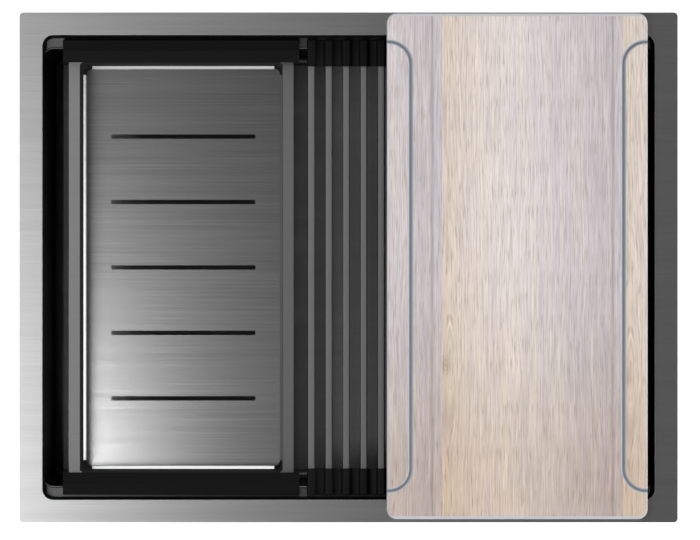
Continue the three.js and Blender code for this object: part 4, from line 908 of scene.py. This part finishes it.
tray = made_mesh("tray", tray_shape())
cut(tray, *tray_slots())
finish(tray, TRAY_STEEL, "tray_steel", "colander", "colander_tray")
middle, normal = faces_of(tray)
away, y, z = middle[:, 0] - TRAY_X, middle[:, 1], middle[:, 2]
bend_top = TRAY_FLOOR_Z + TRAY_BEND_RISE
top = z > TRAY_HIGH.z - NEAR
flange = top & (abs(away) > TRAY_HALF_X + TRAY_FOLD)
inner = away * normal[:, 0] + y * normal[:, 1] < 0
corner = (abs(away) > TRAY_HALF_X - TRAY_RADIUS) & (abs(y) > TRAY_HALF_Y - TRAY_RADIUS)
corner_bend = corner & inner & (z < bend_top + 1 * MM) & (normal[:, 2] < 0.985)
# The inner walls, the mouth and the corner bends are painted shade: they get the dark matt grey.
painted_wall_shade = top | (inner & (z > bend_top + NEAR)) | corner_bend
# The right bend is painted shade: a matt mid grey that shows no highlight.
right_bend = (away > TRAY_HALF_X - TRAY_BEND - 0.6 * MM) & (normal[:, 0] < -0.02)
dress(tray, (FLANGE_STEEL, TRAY_WALL_SHADE, RIGHT_BEND_SHADE), ((1, flange), (2, painted_wall_shade), (3, right_bend)))
for side, shape in (("back", handle_shape()), ("front", mirrored(handle_shape()))):
    finish(made_mesh(f"handle_{side}", shape), BLACK_PLASTIC, "black_plastic", "colander",
           f"colander_handle_{side}")

# ---------------------------------------------------------------- Roll mat

WEB_FOOT = SLEEVE_LOW.z + 1.2 * MM
WEB_TOP = SLEEVE_LOW.z + 3.7 * MM
WEB_RISE = 1.6 * MM
SLEEVE_RADIUS = 2.2 * MM
SLEEVE_WALL = 3 * MM
WEB_GAP = 0.02 * MM
LINKS = ["mat_link_1", "mat_link_2", "mat_link_3"] + ["mat"] * (BARS - CURLING)


def bar_shape(x):
    """A square tube with rounded corners, its outline carried along Y."""
    middle = (BAR_LOW.z + BAR_HIGH.z) / 2
    half = BAR_WIDTH / 2
    outside = rounded_rectangle(half, half, 1.2 * MM, 5) + np.array([x, middle])
    inside = inset(outside, 0.8 * MM)
    rings = []
    for outline, places in ((outside, (BAR_LOW.y, BAR_HIGH.y)), (inside, (BAR_HIGH.y, BAR_LOW.y))):
        rings += [np.insert(outline, 1, y, axis=1) for y in places]
    return loft(rings, wrap=True)


def sleeve_shape(x):
    """A sleeve over a bar's back end: its outline carried along Y, then the pocket that the bar lies in."""
    low, high = SLEEVE_LOW, SLEEVE_HIGH
    half_height = (high.z - low.z) / 2
    middle = np.array([x, low.z + half_height])
    outline = rounded_rectangle(SLEEVE_WIDTH / 2, half_height, SLEEVE_RADIUS, 5)
    outline[:, 1] = np.where(outline[:, 1] < 0, np.clip(outline[:, 1] * 1.3, -half_height, 0), outline[:, 1])
    pocket = rounded_rectangle(BAR_WIDTH / 2 + FIT, BAR_WIDTH / 2 + FIT, 0.6 * MM, 5)
    rings = [np.insert(inset(outline, distance) + middle, 1, y, axis=1)
             for y, distance in rounded_ends(low.y, high.y, 0.8 * MM)]
    rings = rings[::-1]
    rings += [np.insert(pocket + middle, 1, y, axis=1) for y in (low.y, high.y - SLEEVE_WALL)]
    return loft(rings)


def web_shape(left, right):
    """The thin web between two sleeves: flat below, and above a trough that rises to both sleeves."""
    start, end = left + SLEEVE_WIDTH / 2 + WEB_GAP, right - SLEEVE_WIDTH / 2 - WEB_GAP
    x = np.linspace(start, end, 17)
    share = np.linspace(-1, 1, 17)
    top = np.column_stack([x, WEB_TOP + WEB_RISE * share**4])
    foot = np.column_stack([x[::-1], np.full(17, WEB_FOOT)])
    return bar(np.concatenate([foot, top]), rounded_ends(SLEEVE_LOW.y, SLEEVE_HIGH.y, 0.5 * MM, 3), "y")


for i, x in enumerate(BAR_X):
    number = f"{i + 1:02d}"
    finish(made_mesh("bar_" + number, bar_shape(x)), BAR_STEEL, "bar_steel", LINKS[i], "mat_bar_" + number)

for side, flip in (("back", lambda shape: shape), ("front", mirrored)):
    for i in range(CURLING):
        sleeve = made_mesh(f"sleeve_{side}_{i + 1}", flip(sleeve_shape(BAR_X[i])))
        finish(sleeve, SILICONE, "silicone", LINKS[i], f"mat_sleeve_{side}_{i + 1}")
        web = made_mesh(f"web_{side}_{i + 1}", flip(web_shape(BAR_X[i], BAR_X[i + 1])))
        web.modifiers.clear()
        web.data.materials.append(SILICONE)
        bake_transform(web)
    rest = [sleeve_shape(x) for x in BAR_X[CURLING:]]
    rest += [web_shape(*pair) for pair in zip(BAR_X[CURLING:], BAR_X[CURLING + 1:])]
    finish(made_mesh(f"strip_{side}", flip(joined(*rest))), SILICONE, "silicone", "mat", f"mat_strip_{side}")

# ---------------------------------------------------------------- Cutting board


def groove_tool():
    """A groove along the board's left side: a parabola, depth times (1 - (side / half width) squared), with
    upright sides above it, carried along a path that comes in from the side, bends, runs along Y, bends and
    goes out again."""
    half_x, run_out = (BOARD_HIGH.x - BOARD_LOW.x) / 2, (BOARD_HIGH.y - BOARD_LOW.y) / 2 - GROOVE_END
    bend_x, bend_y = -half_x + GROOVE_INSET - GROOVE_BEND, run_out - GROOVE_BEND
    path = [(-half_x - 3 * MM, run_out)] + arc(bend_x, bend_y, GROOVE_BEND, 90, 0, 16)
    path += arc(bend_x, -bend_y, GROOVE_BEND, 0, -90, 16) + [(-half_x - 3 * MM, -run_out)]
    path = np.array(path)
    ahead = np.gradient(path, axis=0)
    ahead /= np.linalg.norm(ahead, axis=1)[:, None]
    across = np.column_stack([-ahead[:, 1], ahead[:, 0]])
    half = GROOVE_WIDTH / 2
    share = np.linspace(-1, 1, 11)
    over = BOARD_HIGH.z + 1 * MM
    side = np.concatenate([half * share, [half, -half]])
    height = np.concatenate([BOARD_HIGH.z - GROOVE_DEPTH * (1 - share**2), [over, over]])
    flat = path[:, None] + side[:, None] * across[:, None]
    rings = np.dstack([flat, np.broadcast_to(height, flat.shape[:2])])
    return moved(loft(rings), BOARD_X, BOARD_Y)


def turned_half(shape):
    """The shape turned half round about the board's upright axis."""
    points = shape[0].copy()
    points[:, :2] = 2 * np.array([BOARD_X, BOARD_Y]) - points[:, :2]
    return points, shape[1]


def board_shape():
    """The outline stacked up along Z and drawn in over each face by a quarter circle, at the long sides by
    half as much as at the ends."""
    half_x, half_y = (BOARD_HIGH.x - BOARD_LOW.x) / 2, (BOARD_HIGH.y - BOARD_LOW.y) / 2
    rings = []
    for height, narrowing in rounded_ends(BOARD_LOW.z, BOARD_HIGH.z, BOARD_EDGE, 6):
        radius = BOARD_RADIUS - 0.75 * narrowing
        outline = rounded_rectangle(half_x - 0.5 * narrowing, half_y - narrowing, radius, 10)
        rings.append(level(outline + np.array([BOARD_X, BOARD_Y]), height))
    return loft(rings)


board = made_mesh("board", board_shape())
cut(board, groove_tool(), turned_half(groove_tool()))
finish(board, OAK, "oak_laminate", "board", "cutting_board")

# ---------------------------------------------------------------- CAD pieces that are shown as they are

SHOWN = {
    "pad_rubber": PAD_RUBBER, "zinc_steel": ZINC, "pressed_steel": PRESSED_STEEL,
    "screw_steel": PRESSED_STEEL, "black_plastic": BLACK_PLASTIC, "seal_rubber": SEAL_RUBBER,
}
for part in frame["record"]["subparts"]:
    node = frame["nodes"][part["node"]]
    if part["material_slot"] in SHOWN and not node.hide_render:
        node.data.materials.clear()
        node.data.materials.append(SHOWN[part["material_slot"]])

# ---------------------------------------------------------------- Floor, light and camera

GLOW = 0.7  # of the floor where it is seen: the lamps and the sky add the rest of its white
OVERHEAD = 0.124  # the sky's strength above, and at the left
AROUND = 1.6  # and low down on the other sides
PALE_BELOW, DARK_ABOVE = 0.437, 0.687  # sines of the heights where it changes, 26 and 43 degrees
DARK_LEFT, PALE_RIGHT = -0.75, -0.25  # the share of X in a level direction where it changes


def studio_floor():
    """A pale floor that the camera and reflections see as white, apart from the object's shadow.

    No rays are aimed at its even glow, because they all go to the lamps.
    """
    reach = 12.0
    square = ((-reach, -reach), (reach, -reach), (reach, reach), (-reach, reach))
    corners = np.array([(x, y, CAD_BOX[0].z) for x, y in square])
    floor = made_mesh("floor", (corners, [[0, 1, 2, 3]]))
    material, tree, shader = new_material("pale_floor", Roughness=0.9)
    shader.inputs["Base Color"].default_value = shade("#f4f4f4")
    path = add(tree, "LightPath").outputs
    seen = add(tree, "Math", {0: path["Is Camera Ray"], 1: path["Is Glossy Ray"]}, operation="ADD")
    seen = add(tree, "Math", {0: seen, 1: path["Is Transmission Ray"]}, operation="ADD")
    glow = add(tree, "Emission", {"Color": (1, 1, 1, 1), "Strength": GLOW})
    dark = add(tree, "Emission", {"Color": (0, 0, 0, 1), "Strength": 0.0})
    lift = add(tree, "MixShader", {0: seen, 1: dark, 2: glow})
    both = add(tree, "AddShader", {0: shader, 1: lift})
    tree.links.new(both.outputs[0], tree.nodes["Material Output"].inputs["Surface"])
    material.cycles.emission_sampling = "NONE"
    floor.data.materials.append(material)


def studio_world():
    """A soft studio: pale low down on all sides but the left, and dark overhead, so that level steel stays
    dark in its reflections. The camera sees it white, and no rays are aimed at it, as at the floor."""
    world = bpy.data.worlds.new("studio")
    bpy.context.scene.world = world
    world.use_nodes = True
    tree = world.node_tree
    direction = add(tree, "TexCoord").outputs["Generated"]
    parts = add(tree, "SeparateXYZ", {"Vector": direction}).outputs
    squared = add(tree, "Math", {0: parts["Z"], 1: parts["Z"]}, operation="MULTIPLY")
    remainder = add(tree, "Math", {0: 1.0, 1: squared}, operation="SUBTRACT")
    level_length = add(tree, "Math", {0: remainder}, operation="SQRT")
    bearing = add(tree, "Math", {0: parts["X"], 1: level_length}, operation="DIVIDE")
    sides = add(tree, "MapRange", {"Value": bearing, "From Min": DARK_LEFT, "From Max": PALE_RIGHT,
                                   "To Min": OVERHEAD, "To Max": AROUND}, interpolation_type="SMOOTHSTEP")
    around = add(tree, "MapRange", {"Value": parts["Z"], "From Min": PALE_BELOW, "From Max": DARK_ABOVE,
                                    "To Min": sides, "To Max": OVERHEAD}, interpolation_type="SMOOTHSTEP")
    camera = add(tree, "LightPath").outputs["Is Camera Ray"]
    strength = add(tree, "Mix", {"Factor": camera, "A": around, "B": 1.0}, data_type="FLOAT")
    tree.links.new(strength.outputs["Result"], tree.nodes["Background"].inputs["Strength"])
    tree.nodes["Background"].inputs["Color"].default_value = (1, 1, 1, 1)
    world.cycles.sampling_method = "NONE"


def area_lamp(name, place, size, radiance):
    """A rectangular lamp that faces the origin. A square metre of it gives pi watts per unit of radiance."""
    lamp = bpy.data.lights.new(name, "AREA")
    lamp.shape = "RECTANGLE"
    lamp.size, lamp.size_y = size
    lamp.energy = math.pi * radiance * size[0] * size[1]
    holder = bpy.data.objects.new(name, lamp)
    bpy.context.scene.collection.objects.link(holder)
    holder.location = place
    ahead = -Vector(place).normalized()
    right = Vector((0, 1, 0)).cross(ahead).normalized()
    holder.rotation_euler = Matrix((right, right.cross(ahead), -ahead)).transposed().to_euler()


def photo_camera():
    """Straight above the sink, far enough away that only a little of the walls shows.

    The frame's width on the deck is distance times sensor width over lens, 0.702 m.
    """
    distance = 5.0
    camera = bpy.data.cameras.new("camera")
    camera.lens = 256.5
    camera.sensor_width = 36.0
    camera.clip_end = 100.0
    holder = bpy.data.objects.new("camera", camera)
    bpy.context.scene.collection.objects.link(holder)
    holder.location = (1.4 * MM, -2.6 * MM, distance + DECK_HIGH.z)
    bpy.context.scene.camera = holder


studio_floor()
studio_world()
area_lamp("key", (-0.84, -0.35, 1.777), (0.91, 0.2), 29.1)  # high at the left, for the highlights
area_lamp("right", (1.55, -0.3, 0.9), (0.9, 1.0), 3.15)
area_lamp("back", (-0.17, 1.5, 0.87), (0.9, 0.6), 2.3)
area_lamp("front", (-0.17, -1.5, 0.87), (0.9, 0.6), 0.76)
photo_camera()
bpy.context.scene.view_settings.view_transform = "Standard"
